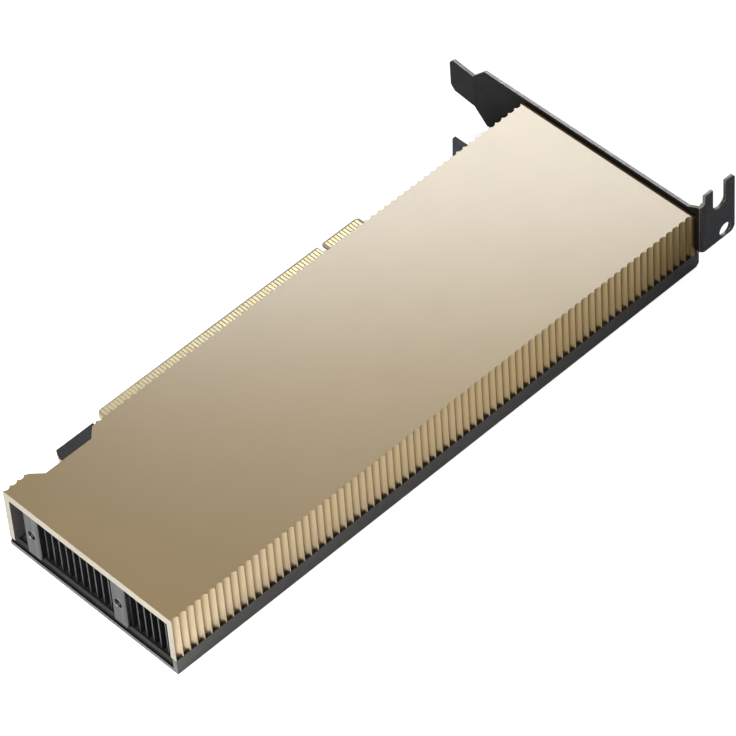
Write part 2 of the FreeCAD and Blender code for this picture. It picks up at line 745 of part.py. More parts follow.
def make_fin_block():
    """The fin block: a stepped base with upright fins from the intake to the bracket."""
    body = new_body("fin_block")
    front = s.fin_front
    half = s.fin_thick / 2
    far_side = -s.fin_first - half
    near_side = -s.fin_first + s.fin_pitch * (s.fin_count - 1) + half
    beyond = s.seat_gap
    pad_box(body, (-s.fin_step, far_side, s.chamber_top),
            (s.fin_rear, near_side, s.chamber_top + s.rear_base))
    sketch = new_sketch(body, "XZ_Plane", s.fin_first - half)
    add_polygon(sketch, [
        (front, s.tray_floor),
        (-s.fin_step, s.tray_floor),
        (-s.fin_step, s.chamber_top),
        (s.fin_rear, s.chamber_top),
        (s.fin_rear, s.fin_top),
        (front, s.fin_top),
    ])
    fin = pad(body, sketch, s.fin_thick)
    repeat(body, [fin], "Y_Axis", s.fin_pitch, s.fin_count)
    pad_box(body, (front, far_side, s.tray_floor),
            (-s.fin_step, near_side, s.tray_floor + s.front_base))
    clearance = s.seat_gap / 2
    for _, middle in intake_places():
        half_gap = s.intake_width / 2 + clearance
        cut_box(body, (s.front, middle - half_gap, s.tray_floor - beyond),
                (s.front + s.intake_inset + s.intake_depth + clearance, middle + half_gap,
                 s.cover_top))
    jog = s.near_inside - s.recess_depth - s.seat_gap
    cut_box(body, (-s.recess_front - s.side_wall, jog, s.tray_floor - beyond),
            (-s.recess_rear + s.side_wall, s.near, s.cover_top))
    reach = s.boss_half + s.seat_gap
    for x, y in screw_places():
        cut_box(body, (x - reach, y - reach, s.tray_floor), (x + reach, y + reach, s.cover_top))
    return body


def make_vapour_chamber():
    """The copper vapour chamber with its pedestal and four threaded anchors."""
    body = new_body("vapour_chamber")
    pad_box(body, (-s.chamber_front, -s.chamber_far, s.chamber_under),
            (s.chamber_rear, -s.chamber_near, s.chamber_top))
    half = s.pedestal_size / 2
    die_top = s.board_top + s.package_thick + s.die_thick + s.paste_thick
    pad_box(body, (s.chip_x - half, s.chip_y - half, die_top),
            (s.chip_x + half, s.chip_y + half, s.chamber_under))
    pad_hexagons(body, anchor_places(), s.anchor_radius, s.board_top, s.chamber_under)
    cut_round(body, anchor_places(), s.thread_hole, s.board_top,
              s.chamber_under + s.chamber_thick / 2)
    return body


def make_bracket():
    """The folded sheet bracket: plate, tail, fold-over tab, flanges and exhaust slots."""
    body = new_body("bracket")
    beyond = s.plate_width
    tab_end = s.rear_reach + s.tab_depth
    tab_outer = -s.tab_side
    tab_inner = tab_outer + s.plate_thick
    tail_root = s.plate_end + (s.plate_width - s.tail_width) / 2
    sketch = new_sketch(body, "XY_Plane", s.plate_low)
    add_polygon(sketch, [
        (s.rear_reach, tab_outer),
        (tab_end, tab_outer),
        (tab_end, tab_inner),
        (s.plate_outer, tab_inner),
        (s.plate_outer, tail_root),
        (s.plate_outer + s.tail_bend, s.tail_reach),
        (s.rear_reach + s.tail_bend, s.tail_reach),
        (s.rear_reach, tail_root),
    ])
    strip = pad(body, sketch, s.tab_top - s.plate_low)
    doc.recompute()
    outside = edges_where(strip, lambda middle, run: close_to(middle, x=s.rear_reach, y=tab_outer))
    rounded = dress(body, "Fillet", strip, outside, s.bend_radius + s.plate_thick)
    inside = edges_where(rounded, lambda middle, run: close_to(middle, x=s.plate_outer, y=tab_inner))
    dress(body, "Fillet", rounded, inside, s.bend_radius)

    tail_low = s.plate_low + (s.plate_width - s.tail_width) / 2
    tail_high = tail_low + s.tail_width
    bend_start = tab_outer + s.bend_radius + s.plate_thick
    notch_side = s.far + s.tray_wall + s.seat_gap
    sketch = new_sketch(body, "YZ_Plane", s.rear_reach - beyond)
    add_rectangle(sketch, tab_outer - beyond, s.plate_low - beyond,
                  s.tail_reach + beyond, s.tab_top + beyond)
    add_polygon(sketch, [
        (tab_outer - s.plate_thick, s.tab_bottom),
        (s.far - s.seat_gap, s.tab_bottom),
        (s.far - s.seat_gap, s.ledge),
        (notch_side, s.ledge),
        (notch_side, s.plate_low),
        (s.plate_end, s.plate_low),
        (tail_root, tail_low),
        (s.tail_reach - s.tail_chamfer, tail_low),
        (s.tail_reach, tail_low + s.tail_chamfer),
        (s.tail_reach, tail_high - s.tail_chamfer),
        (s.tail_reach - s.tail_chamfer, tail_high),
        (tail_root, tail_high),
        (s.plate_end, s.plate_top),
        (bend_start + s.ramp_length, s.plate_top),
        (bend_start, s.plate_top + s.ramp_rise),
        (bend_start, s.tab_top),
        (tab_outer - s.plate_thick, s.tab_top),
    ])
    outline = pocket(body, sketch, beyond * 3, backwards=True)
    doc.recompute()
    lower_corner = edges_where(outline, lambda middle, run: close_to(middle, x=tab_end,
                                                                     z=s.tab_bottom))
    rounded = dress(body, "Fillet", outline, lower_corner, s.tab_corner)
    upper_corner = edges_where(rounded, lambda middle, run: close_to(middle, x=tab_end,
                                                                     z=s.tab_top))
    dress(body, "Fillet", rounded, upper_corner, s.prong_radius)
    bend_top = s.plate_top + s.ramp_rise
    prong_side = s.plate_outer + s.bend_radius
    sketch = new_sketch(body, "XZ_Plane", s.tab_side)
    add_polygon(sketch, [
        (s.rear_reach - beyond, bend_top),
        (s.rear_reach, bend_top),
        (prong_side, bend_top + s.relief_rise),
        (prong_side, s.tab_top + beyond),
        (s.rear_reach - beyond, s.tab_top + beyond),
    ])
    pocket(body, sketch, s.plate_thick + s.bend_radius)

    notch_middle = s.rear_reach + s.notch_x
    sketch = new_sketch(body, "XZ_Plane", s.tab_side)
    add_slot(sketch, notch_middle, s.board_top + s.notch_height, s.tab_top + s.notch_width,
             s.notch_width / 2)
    pocket(body, sketch, s.plate_thick)
    sketch = new_sketch(body, "XZ_Plane", s.tab_side)
    add_circle(sketch, s.rear_reach + s.tab_hole_x, s.board_top + s.tab_hole_height, s.tab_hole)
    pocket(body, sketch, s.plate_thick)

    sketch = new_sketch(body, "YZ_Plane", s.rear_reach)
    vent_low = s.board_top + s.vent_low
    add_rectangle(sketch, s.vent_first, vent_low, s.vent_first + s.vent_width,
                  vent_low + s.vent_height)
    vent = pocket(body, sketch, s.plate_thick, backwards=True)
    repeat(body, [vent], "Y_Axis", s.vent_pitch, s.vent_count)

    flange_front = s.rear_reach - s.flange_length
    flange_top = s.board_top + s.plate_thick
    far_side = s.far_inside + s.seat_gap
    near_side = s.near_inside - s.seat_gap
    pad_box(body, (flange_front, far_side, s.board_top),
            (s.rear_reach, far_side + s.flange_width, flange_top))
    pad_box(body, (flange_front, near_side - s.flange_width, s.board_top),
            (s.rear_reach, near_side, flange_top))
    cut_round(body, flange_places(), s.screw_hole, s.board_top, flange_top)
    return body


def make_tray_screws():
    """The countersunk screws in the tray's floor, which hold the cover and the intake posts."""
    body = new_body("tray_screws")
    places = screw_places() + intake_places()
    pad_round(body, places, s.screw_radius, s.tray_bottom, s.screw_tip)
    clearance = s.screw_hole - s.screw_radius
    sketch = new_sketch(body, "XY_Plane", s.tray_bottom)
    for x, y in places:
        add_circle(sketch, x, y, s.head_radius - clearance)
    heads = pad(body, sketch, s.head_radius - s.screw_hole)
    heads.TaperAngle = -COUNTERSINK
    return body


def make_spring_plate():
    """The sprung plate under the board, with an open notch for each of the four screws."""
    body = new_body("spring_plate")
    half_x = s.anchor_pitch / 2 + s.spring_border
    half_y = s.anchor_width / 2 + s.spring_border
    low = s.board_under - s.spring_thick
    plate = pad_box(body, (s.chip_x - half_x, s.chip_y - half_y, low),
                    (s.chip_x + half_x, s.chip_y + half_y, s.board_under))
    doc.recompute()
    corners = edges_where(plate, lambda middle, run: abs(run.z) > run.Length / 2)
    dress(body, "Chamfer", plate, corners, s.spring_border)
    window = s.spring_window / 2
    cut_box(body, (s.chip_x - window, s.chip_y - window, low),
            (s.chip_x + window, s.chip_y + window, s.board_under))
    for x, y in anchor_places():
        outwards = 1 if y.number > s.chip_y.number else -1
        cut_box(body, (x - s.screw_hole, y - s.screw_hole * outwards, low),
                (x + s.screw_hole, s.chip_y + (half_y + s.seat_gap) * outwards, s.board_under))
    return body


def make_spring_screws():
    """Low-headed screws that pull the vapour chamber down on the processor."""
    body = new_body("spring_screws")
    head_top = s.board_under - s.spring_thick
    pad_hexagons(body, anchor_places(), s.low_head_radius, head_top - s.low_head_height, head_top)
    tip = s.chamber_under + s.chamber_thick / 4
    pad_round(body, anchor_places(), s.screw_radius, head_top, tip)
    return body


def make_insulating_sheet():
    """The thin sheet on the tray's floor, cut out round the bosses."""
    body = new_body("insulating_sheet")
    top = s.tray_floor + s.sheet_thick
    pad_box(body, (-s.fin_step + s.seat_gap, s.far + s.tray_wall + s.seat_gap, s.tray_floor),
            (s.rear_reach - s.seat_gap, s.near - s.tray_wall - s.seat_gap, top))
    reach = s.boss_half + s.seat_gap
    for x, y in board_places():
        cut_box(body, (x - reach, y - reach, s.tray_floor), (x + reach, y + reach, top))
    notch = s.recess_floor - s.seat_gap
    cut_box(body, (-s.board_front - s.side_wall, notch, s.tray_floor),
            (-s.recess_rear + s.side_wall, s.near, top))
    return body


def make_processor():
    """The processor's package, its stiffener frame, the die and the paste on it."""
    half = s.package_size / 2
    low = (s.chip_x - half, s.chip_y - half, s.board_top)
    block("processor_package", low, (s.package_size, s.package_size, s.package_thick))
    top = s.board_top + s.package_thick
    frame = new_body("package_stiffener")
    inner = half - s.stiffener_wall
    pad_box(frame, (s.chip_x - half, s.chip_y - half, top),
            (s.chip_x + half, s.chip_y + half, top + s.stiffener_thick))
    cut_box(frame, (s.chip_x - inner, s.chip_y - inner, top),
            (s.chip_x + inner, s.chip_y + inner, top + s.stiffener_thick))
    corner = (s.chip_x - s.die_length / 2, s.chip_y - s.die_width / 2)
    block("processor_die", (*corner, top), (s.die_length, s.die_width, s.die_thick))
    block("thermal_paste", (*corner, top + s.die_thick),
          (s.die_length, s.die_width, s.paste_thick))


def make_memory():
    """Memory chips in two columns beside the processor, each under its own pad."""
    chips = []
    pads = []
    pitch = s.memory_width + s.memory_gap
    pad_low = s.board_top + s.memory_thick
    for side in (-1, 1):
        for place_in_column in (-1, 0, 1):
            x = s.chip_x + s.memory_offset * side - s.memory_length / 2
            y = s.chip_y + pitch * place_in_column - s.memory_width / 2
            number = len(chips) + 1
            footprint = (s.memory_length, s.memory_width)
            chips.append(block(f"memory_chip_{number}", (x, y, s.board_top),
                               (*footprint, s.memory_thick)))
            pads.append(block(f"memory_pad_{number}", (x, y, pad_low),
                              (*footprint, s.chamber_under - pad_low)))
    group("memory_chips", chips)
    group("memory_pads", pads)


def make_power_parts():
    """Inductors, power stages and capacitors in rows, with pads up to the chamber."""
    coils = []
    stages = []
    capacitors = []
    pads = []
    for number in range(int(s.coil_count.number)):
        y = s.coil_row_y + s.coil_pitch * number
        middle = y + s.coil_size / 2
        x = s.coil_row_x
        coils.append(block(f"inductor_{number + 1}", (x, y, s.board_top),
                           (s.coil_size, s.coil_size, s.coil_thick)))
        pad_low = s.board_top + s.coil_thick
        pads.append(block(f"inductor_pad_{number + 1}", (x, y, pad_low),
                          (s.coil_size, s.coil_size, s.chamber_under - pad_low)))
        x = x + s.coil_size + s.stage_gap
        stages.append(block(f"power_stage_{number + 1}", (x, middle - s.stage_width / 2, s.board_top),
                            (s.stage_length, s.stage_width, s.stage_thick)))
        pad_low = s.board_top + s.stage_thick
        pads.append(block(f"stage_pad_{number + 1}", (x, middle - s.stage_width / 2, pad_low),
                          (s.stage_length, s.stage_width, s.chamber_under - pad_low)))
        x = x + s.stage_length + s.capacitor_gap
        low = (x, middle - s.capacitor_width / 2, s.board_top)
        capacitors.append(block(f"capacitor_{number + 1}", low,
                                (s.capacitor_length, s.capacitor_width, s.capacitor_thick)))
    group("inductors", coils)
    group("power_stages", stages)
    group("bulk_capacitors", capacitors)
    group("power_pads", pads)


def make_small_chips():
    """The power controller, the firmware memory and the clock crystal."""
    x = -s.chamber_front + s.controller_size
    block("power_controller", (x, s.chip_y, s.board_top),
          (s.controller_size, s.controller_size, s.controller_thick))
    block("firmware_memory", (x, s.chip_y - s.flash_length * 2, s.board_top),
          (s.flash_length, s.flash_width, s.flash_thick))
    block("clock_crystal", (x, s.chip_y + s.controller_size * 2, s.board_top),
          (s.clock_length, s.clock_width, s.clock_thick))


def make_parts():
    """Every piece of the card."""
    make_cover()
    make_tray()
    make_board()
    make_contacts("contacts_component_side", s.board_top)
    make_contacts("contacts_solder_side", s.board_under - s.contact_thick)
    for label, (_, middle) in zip(("intake_post_near", "intake_post_far"), intake_places()):
        make_intake_post(label, middle)
    make_fin_block()
    make_vapour_chamber()
    make_processor()
    make_memory()
    make_power_parts()
    make_small_chips()
    make_spring_plate()
    make_spring_screws()
    make_insulating_sheet()
    make_bracket()
    make_tray_screws()


NODES = [
    "fluted_cover",
    "backplate_tray",
    "circuit_board",
    "contacts_component_side",
    "contacts_solder_side",
    "intake_post_near",
    "intake_post_far",
    "fin_block",
    "vapour_chamber",
    "processor_package",
    "package_stiffener",
    "processor_die",
    "thermal_paste",
    "memory_chips",
    "memory_pads",
    "inductors",
    "power_stages",
    "bulk_capacitors",
    "power_pads",
    "power_controller",
    "firmware_memory",
    "clock_crystal",
    "spring_plate",
    "spring_screws",
    "insulating_sheet",
    "bracket",
    "tray_screws",
]


def check_document():
    """Stop if an object failed or a piece has no sound shape."""
    for item in doc.Objects:
        if "Invalid" in item.State or "Error" in item.State:
            raise RuntimeError(f"{item.Label} failed: {item.State}")
    for label in NODES:
        shape = doc.getObjectsByLabel(label)[0].Shape
        if shape.isNull() or not shape.isValid() or not shape.Solids:
            raise RuntimeError(f"{label} has no sound shape")


def write_parts():
    """One STEP file for each piece."""
    os.makedirs("parts", exist_ok=True)
    for label in NODES:
        shape = doc.getObjectsByLabel(label)[0].Shape
        shape.exportStep(f"parts/{label}.step")
        box = shape.BoundBox
        print(f"{label}: {len(shape.Solids)} solids, {shape.Volume:.1f} mm3, "
              f"x {box.XMin:.2f} {box.XMax:.2f} y {box.YMin:.2f} {box.YMax:.2f} "
              f"z {box.ZMin:.2f} {box.ZMax:.2f}")


make_parts()
doc.recompute()
check_document()
write_parts()
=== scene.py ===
"""Looks of a low-profile passive accelerator card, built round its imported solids.

X runs from the open intake end to the bracket, Y points out of the edge connector and Z points
out of the component side. Sizes in the classes are in millimetres, and meshes are in metres.
"""

import json
import logging
import math
from collections.abc import Iterable
from dataclasses import dataclass, field
from enum import Enum
from typing import ClassVar

import bmesh
import bpy
from mathutils import Matrix, Quaternion, Vector


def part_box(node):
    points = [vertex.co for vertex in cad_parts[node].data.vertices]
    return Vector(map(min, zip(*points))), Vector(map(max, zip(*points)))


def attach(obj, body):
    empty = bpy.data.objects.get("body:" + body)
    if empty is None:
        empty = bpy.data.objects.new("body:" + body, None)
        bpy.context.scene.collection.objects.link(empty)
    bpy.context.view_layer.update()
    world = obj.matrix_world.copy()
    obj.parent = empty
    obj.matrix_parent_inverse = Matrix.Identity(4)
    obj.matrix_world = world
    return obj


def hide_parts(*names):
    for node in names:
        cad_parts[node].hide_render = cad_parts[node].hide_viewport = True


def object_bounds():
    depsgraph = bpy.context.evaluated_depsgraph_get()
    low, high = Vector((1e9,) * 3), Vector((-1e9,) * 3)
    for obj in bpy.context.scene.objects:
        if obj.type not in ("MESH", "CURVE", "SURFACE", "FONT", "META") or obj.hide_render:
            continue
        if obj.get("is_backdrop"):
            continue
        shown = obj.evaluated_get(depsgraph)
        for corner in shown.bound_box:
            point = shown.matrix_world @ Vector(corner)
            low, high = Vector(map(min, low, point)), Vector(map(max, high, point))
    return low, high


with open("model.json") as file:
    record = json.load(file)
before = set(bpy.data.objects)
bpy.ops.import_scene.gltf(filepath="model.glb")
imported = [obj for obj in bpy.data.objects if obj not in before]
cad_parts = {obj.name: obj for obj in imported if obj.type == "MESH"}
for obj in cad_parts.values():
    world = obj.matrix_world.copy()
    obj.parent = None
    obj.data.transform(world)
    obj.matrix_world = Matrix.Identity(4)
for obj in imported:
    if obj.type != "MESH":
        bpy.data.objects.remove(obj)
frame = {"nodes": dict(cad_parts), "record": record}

LOG = logging.getLogger("accelerator_card")
BODY = "root"
Colour = tuple[float, float, float]
Point = tuple[float, float, float]
Span = tuple[float, float]
Outline = list[tuple[float, float]]

# A millimetre in metres.
MM = 0.001
WHITE: Colour = (1.0, 1.0, 1.0)
# Faces with more corners than this, or over this many square metres, are shaded flat.
SMOOTH_CORNERS = 4
SMOOTH_AREA = 12e-6
# Corners nearer than this, in millimetres, are one corner.
SAME_POINT = 0.0005
# The same in a copied solid and in a turned screw.
COPY_SAME_POINT = 0.001
# The strips across a rounded edge.
SOFT_STRIPS = 2
# A normal with over the first share along an axis leans that way, and over the second faces it.
LEANING = 0.3
FACING = 0.9
# A wall that turns by 45 degrees is mitred by half that angle.
MITRE = math.tan(math.radians(45.0) / 2)

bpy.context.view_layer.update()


def metres(point: Iterable[float]) -> Vector:
    """A point given in millimetres as a vector in metres."""
    return Vector(point) * MM


class Lay(Enum):
    """Which way the fine marks of a machined or brushed surface run."""

    NONE = (1.0, 1.0, 1.0)
    ALONG_X = (0.04, 1.0, 1.0)
    ALONG_Y = (1.0, 0.04, 1.0)
    ALONG_Z = (1.0, 1.0, 0.04)


class Graph:
    """The nodes of one material, with short names for what the finishes need."""

    BEVEL_SAMPLES: ClassVar[int] = 4
    EDGE_COSINES: ClassVar[Span] = (0.995, 0.9)

    def __init__(self, name: str) -> None:
        """Start a material with its own principled shader.

        Args:
            name: the material's name.
        """
        self.material = bpy.data.materials.new(name)
        self.material.use_nodes = True
        self.tree = self.material.node_tree
        self.shader = self.tree.nodes["Principled BSDF"]

    def add(self, kind: str, settings: dict | None = None, **inputs: object) -> bpy.types.Node:
        """Add a node.

        Args:
            kind: the node's type, without its ShaderNode prefix.
            settings: attributes to set on the node.
            **inputs: values or output sockets for its inputs, by name with _ for a space.

        Returns:
            The new node.
        """
        node = self.tree.nodes.new(f"ShaderNode{kind}")
        for key, value in (settings or {}).items():
            setattr(node, key, value)
        for key, value in inputs.items():
            self.feed(node.inputs[key.replace("_", " ")], value)
        return node

    def feed(self, socket: bpy.types.NodeSocket, value: object) -> None:
        """Link a socket to another one, or set its value.

        Args:
            socket: the input to feed.
            value: an output socket, or a plain value.
        """
        if isinstance(value, bpy.types.NodeSocket):
            self.tree.links.new(value, socket)
        else:
            socket.default_value = value

    def place(self, stretch: Point = Lay.NONE.value) -> bpy.types.NodeSocket:
        """Object coordinates, squeezed so that a pattern runs along one axis."""
        coordinates = self.add("TexCoord").outputs["Object"]
        return self.add("Mapping", Vector=coordinates, Scale=stretch).outputs["Vector"]

    def noise(self, scale: float, detail: float = 2.0, stretch: Point = Lay.NONE.value,
              roughness: float = 0.5) -> bpy.types.NodeSocket:
        """Fractal noise.

        Args:
            scale: blobs to a metre.
            detail: octaves.
            stretch: how the pattern is squeezed along each axis.
            roughness: share of the finer octaves.

        Returns:
            The noise's value, from 0 to 1.
        """
        node = self.add("TexNoise", Vector=self.place(stretch), Scale=scale, Detail=detail,
                        Roughness=roughness)
        return node.outputs["Fac"]

    def spread(self, value: object, low: float, high: float, to_low: float,
               to_high: float) -> bpy.types.NodeSocket:
        """A value carried from one range to another, and held inside it.

        Args:
            value: the value or its socket.
            low: the start of its range.
            high: the end of its range.
            to_low: the result at the start.
            to_high: the result at the end.

        Returns:
            The result.
        """
        node = self.add("MapRange", Value=value, From_Min=low, From_Max=high, To_Min=to_low,
                        To_Max=to_high)
        return node.outputs["Result"]

    def math(self, operation: str, first: object, second: object = 0.0) -> bpy.types.NodeSocket:
        """One sum on two values.

        Args:
            operation: the sum's name.
            first: its first value or socket.
            second: its second value or socket.

        Returns:
            The result.
        """
        node = self.add("Math", {"operation": operation})
        self.feed(node.inputs[0], first)
        self.feed(node.inputs[1], second)
        return node.outputs["Value"]

    def mix(self, share: object, first: object, second: object) -> bpy.types.NodeSocket:
        """Two colours mixed by a share.

        Args:
            share: how much of the second colour shows, from 0 to 1.
            first: a colour or a socket.
            second: a colour or a socket.

        Returns:
            The mixed colour.
        """
        node = self.add("Mix", {"data_type": "RGBA"})
        self.feed(node.inputs["Factor"], share)
        self.feed(node.inputs["A"], opaque(first))
        self.feed(node.inputs["B"], opaque(second))
        return node.outputs["Result"]

    def edges(self, reach: float) -> bpy.types.NodeSocket:
        """A mask that is 1 on outer and inner edges and 0 on flat stretches.

        Args:
            reach: how far from an edge the mask reaches, in millimetres.

        Returns:
            The mask.
        """
        rounded = self.add("Bevel", {"samples": self.BEVEL_SAMPLES},
                           Radius=reach * MM).outputs["Normal"]
        plain = self.add("NewGeometry").outputs["Normal"]
        node = self.add("VectorMath", {"operation": "DOT_PRODUCT"})
        self.feed(node.inputs[0], rounded)
        self.feed(node.inputs[1], plain)
        return self.spread(node.outputs["Value"], *self.EDGE_COSINES, 0.0, 1.0)

    def bump(self, height: object, depth: float, below: object = None) -> bpy.types.NodeSocket:
        """A bumped normal.

        Args:
            height: the height pattern, from 0 to 1.
            depth: its depth in millimetres.
            below: another bump's normal under this one.

        Returns:
            The normal.
        """
        node = self.add("Bump", Height=height, Distance=depth * MM)
        if below is not None:
            self.feed(node.inputs["Normal"], below)
        return node.outputs["Normal"]


class SurroundGraph(Graph):
    """The nodes of the surround."""

    def __init__(self, name: str) -> None:
        """Start a surround with its own background shader.

        Args:
            name: the surround's name.
        """
        self.world = bpy.data.worlds.new(name)
        self.world.use_nodes = True
        self.tree = self.world.node_tree
        self.shader = self.tree.nodes["Background"]


def opaque(colour: object) -> object:
    """A colour with its alpha, or a socket as it is."""
    return (*colour, 1.0) if isinstance(colour, tuple) else colour


@dataclass(frozen=True)
class Finish:
    """A surface with mottling, fine grain and lighter edges, which are partly rubbed wear and
    partly a painted highlight.
    """

    CLOUD: ClassVar[Span] = (0.3, 0.7)
    CLOUD_OCTAVES: ClassVar[float] = 4.0
    FINE_OCTAVES: ClassVar[float] = 3.0
    GRAIN_ROUGHNESS: ClassVar[float] = 0.6
    GLOSS_CLOUD: ClassVar[Span] = (0.25, 0.75)
    GLOSS_FINER: ClassVar[float] = 3.0
    WEAR_AND_HIGHLIGHT_SCALE: ClassVar[float] = 900.0
    WEAR_AND_HIGHLIGHT_CLOUD: ClassVar[Span] = (0.2, 0.6)
    LEAST_WEAR_AND_HIGHLIGHT: ClassVar[float] = 0.4

    name: str
    colour: Colour
    dark: Colour
    metallic: float = 0.0
    roughness: float = 0.5
    uneven: float = 0.08
    mottle: float = 120.0
    grain: float = 3000.0
    grain_depth: float = 0.004
    lay: Lay = Lay.NONE
    edge: Colour | None = None
    edge_reach: float = 0.12
    edge_share: float = 0.6
    coat: float = 0.0
    coat_index: float = 1.5
    coat_roughness: float = 0.3
    specular: float = 0.5

    def base(self, graph: Graph) -> bpy.types.NodeSocket:
        """The colour over the surface, before the edges."""
        cloud = graph.noise(self.mottle, self.CLOUD_OCTAVES, self.lay.value)
        return graph.mix(graph.spread(cloud, *self.CLOUD, 0.0, 1.0), self.dark, self.colour)

    def height(self, graph: Graph) -> bpy.types.NodeSocket:
        """The fine grain's height."""
        return graph.noise(self.grain, self.FINE_OCTAVES, self.lay.value, self.GRAIN_ROUGHNESS)

    def material(self) -> bpy.types.Material:
        """The finish as a material.

        Returns:
            The new material.
        """
        graph = Graph(self.name)
        shader = graph.shader
        colour = self.base(graph)
        gloss = graph.noise(self.mottle * self.GLOSS_FINER, self.FINE_OCTAVES, self.lay.value)
        rough = graph.spread(gloss, *self.GLOSS_CLOUD, self.roughness - self.uneven,
                             self.roughness + self.uneven)
        # Rounded edges get a lighter colour in patches: partly rubbed wear, partly a painted
        # highlight where the edges catch the light.
        if self.edge is not None:
            wear_and_highlight = graph.math("MULTIPLY", graph.edges(self.edge_reach), self.edge_share)
            patchy = graph.spread(graph.noise(self.WEAR_AND_HIGHLIGHT_SCALE), *self.WEAR_AND_HIGHLIGHT_CLOUD,
                                  self.LEAST_WEAR_AND_HIGHLIGHT, 1.0)
            colour = graph.mix(graph.math("MULTIPLY", wear_and_highlight, patchy), colour, self.edge)
        graph.feed(shader.inputs["Base Color"], colour)
        graph.feed(shader.inputs["Roughness"], rough)
        shader.inputs["Metallic"].default_value = self.metallic
        shader.inputs["Coat Weight"].default_value = self.coat
        shader.inputs["Coat IOR"].default_value = self.coat_index
        shader.inputs["Coat Roughness"].default_value = self.coat_roughness
        shader.inputs["Specular IOR Level"].default_value = self.specular
        graph.feed(shader.inputs["Normal"], graph.bump(self.height(graph), self.grain_depth))
        return graph.material


@dataclass(frozen=True)
class BoardFinish(Finish):
    """Solder mask with traces and vias, and bare laminate between the contacts."""

    bare: Colour = (0.64, 0.51, 0.30)
    core: Colour = (0.74, 0.62, 0.39)
    bare_from: float = -5.6
    tongue_far: float = -72.6
    tongue_near: float = 12.6
    board_half: float = 0.785
    rim_margin: float = 0.06
    trace_pitch: float = 1.0
    trace_edge: Span = (0.16, 0.22)
    trace_shade: float = 0.5
    trace_height: float = 0.02
    weave_scale: float = 2200.0
    weave: Point = (0.15, 0.15, 4.0)
    gloss_scale: float = 400.0
    gloss_cloud: Span = (0.2, 0.8)
    gloss: Span = (0.32, 0.5)

    def window(self, graph: Graph, value: object, low: float, high: float) -> bpy.types.NodeSocket:
        """A mask that is 1 where a coordinate lies between two sizes.

        Args:
            graph: the material's nodes.
            value: the coordinate, in metres.
            low: the lower size, in millimetres.
            high: the upper size, in millimetres.

        Returns:
            The mask.
        """
        above = graph.math("GREATER_THAN", value, low * MM)
        below = graph.math("LESS_THAN", value, high * MM)
        return graph.math("MULTIPLY", above, below)

    def traces(self, graph: Graph, x: object) -> bpy.types.NodeSocket:
        """Upright copper runs under the mask, one for each contact.

        Args:
            graph: the material's nodes.
            x: the coordinate along the card, in metres.

        Returns:
            A mask that is 1 on the runs.
        """
        share = graph.math("FRACT", graph.math("DIVIDE", x, self.trace_pitch * MM))
        wave = graph.math("ABSOLUTE", graph.math("SUBTRACT", share, 0.5))
        return graph.spread(wave, *self.trace_edge, 1.0, 0.0)

    def material(self) -> bpy.types.Material:
        """Mask on the board's faces, and laminate at its edges and between its contacts.

        Returns:
            The new material.
        """
        graph = Graph(self.name)
        shader = graph.shader
        split = graph.add("SeparateXYZ", Vector=graph.place())
        x, y, z = (split.outputs[axis] for axis in "XYZ")
        runs = self.traces(graph, x)
        mask = graph.mix(graph.math("MULTIPLY", runs, self.trace_shade), self.base(graph),
                         self.dark)
        near_contacts = graph.math(
            "MULTIPLY",
            graph.math("GREATER_THAN", y, self.bare_from * MM),
            self.window(graph, x, self.tongue_far, self.tongue_near),
        )
        face = graph.mix(near_contacts, mask, self.bare)
        rim = graph.math("LESS_THAN", graph.math("ABSOLUTE", z),
                         (self.board_half - self.rim_margin) * MM)
        weave = graph.noise(self.weave_scale, stretch=self.weave)
        laminate = graph.mix(weave, self.core, self.bare)
        graph.feed(shader.inputs["Base Color"], graph.mix(rim, face, laminate))
        gloss = graph.noise(self.gloss_scale, self.FINE_OCTAVES)
        graph.feed(shader.inputs["Roughness"],
                   graph.spread(gloss, *self.gloss_cloud, *self.gloss))
        low = graph.bump(runs, self.trace_height)
        graph.feed(shader.inputs["Normal"], graph.bump(self.height(graph), self.grain_depth, low))
        return graph.material


@dataclass(frozen=True)
class FluteFinish(Finish):
    """A finish with painted shade: browner and darker towards the bracket and near its plate,
    darker towards the top, and on the flanks that face the bracket.
    """

    # Painted shade on the flank of each flute that faces the bracket.
    painted_flank_shade: Colour = (0.26, 0.185, 0.100)
    flank_shade_share: float = 0.85
    flank: Span = (0.10, 0.72)
    # Painted shade: browner and darker towards the bracket, and darker still on the last flutes by
    # the bracket plate.
    painted_bracket_shade: Colour = (0.78, 0.57, 0.27)
    painted_last_flute_shade: Colour = (0.34, 0.22, 0.07)
    last_share: float = 0.9
    last_from: float = 38.0
    # Painted shade: darker towards the top of the flutes.
    upper: Colour = (0.36, 0.26, 0.13)
    upper_share: float = 0.34
    upper_from: float = 5.0
    top: float = 14.45
    row_start: float = -111.04
    row_end: float = 56.6
    pitch: float = 2.207

    def base(self, graph: Graph) -> bpy.types.NodeSocket:
        """The colour over the flutes, with painted shade on the flank that faces the bracket,
        towards the bracket and towards the top.

        Args:
            graph: the material's nodes.

        Returns:
            The colour.
        """
        split = graph.add("SeparateXYZ", Vector=graph.place()).outputs
        along = split["X"]
        from_start = graph.math("SUBTRACT", along, self.row_start * MM)
        share = graph.math("FRACT", graph.math("DIVIDE", from_start, self.pitch * MM))
        mask = graph.spread(share, *self.flank, self.flank_shade_share, 0.0)
        towards = graph.spread(along, self.row_start * MM, self.last_from * MM, 0.0, 1.0)
        toned = graph.mix(towards, super().base(graph), self.painted_bracket_shade)
        near = graph.spread(along, self.last_from * MM, self.row_end * MM, 0.0, self.last_share)
        high = graph.spread(split["Z"], self.upper_from * MM, self.top * MM, 0.0,
                            self.upper_share)
        open_flank = graph.mix(high, graph.mix(near, toned, self.painted_last_flute_shade), self.upper)
        return graph.mix(mask, open_flank, self.painted_flank_shade)


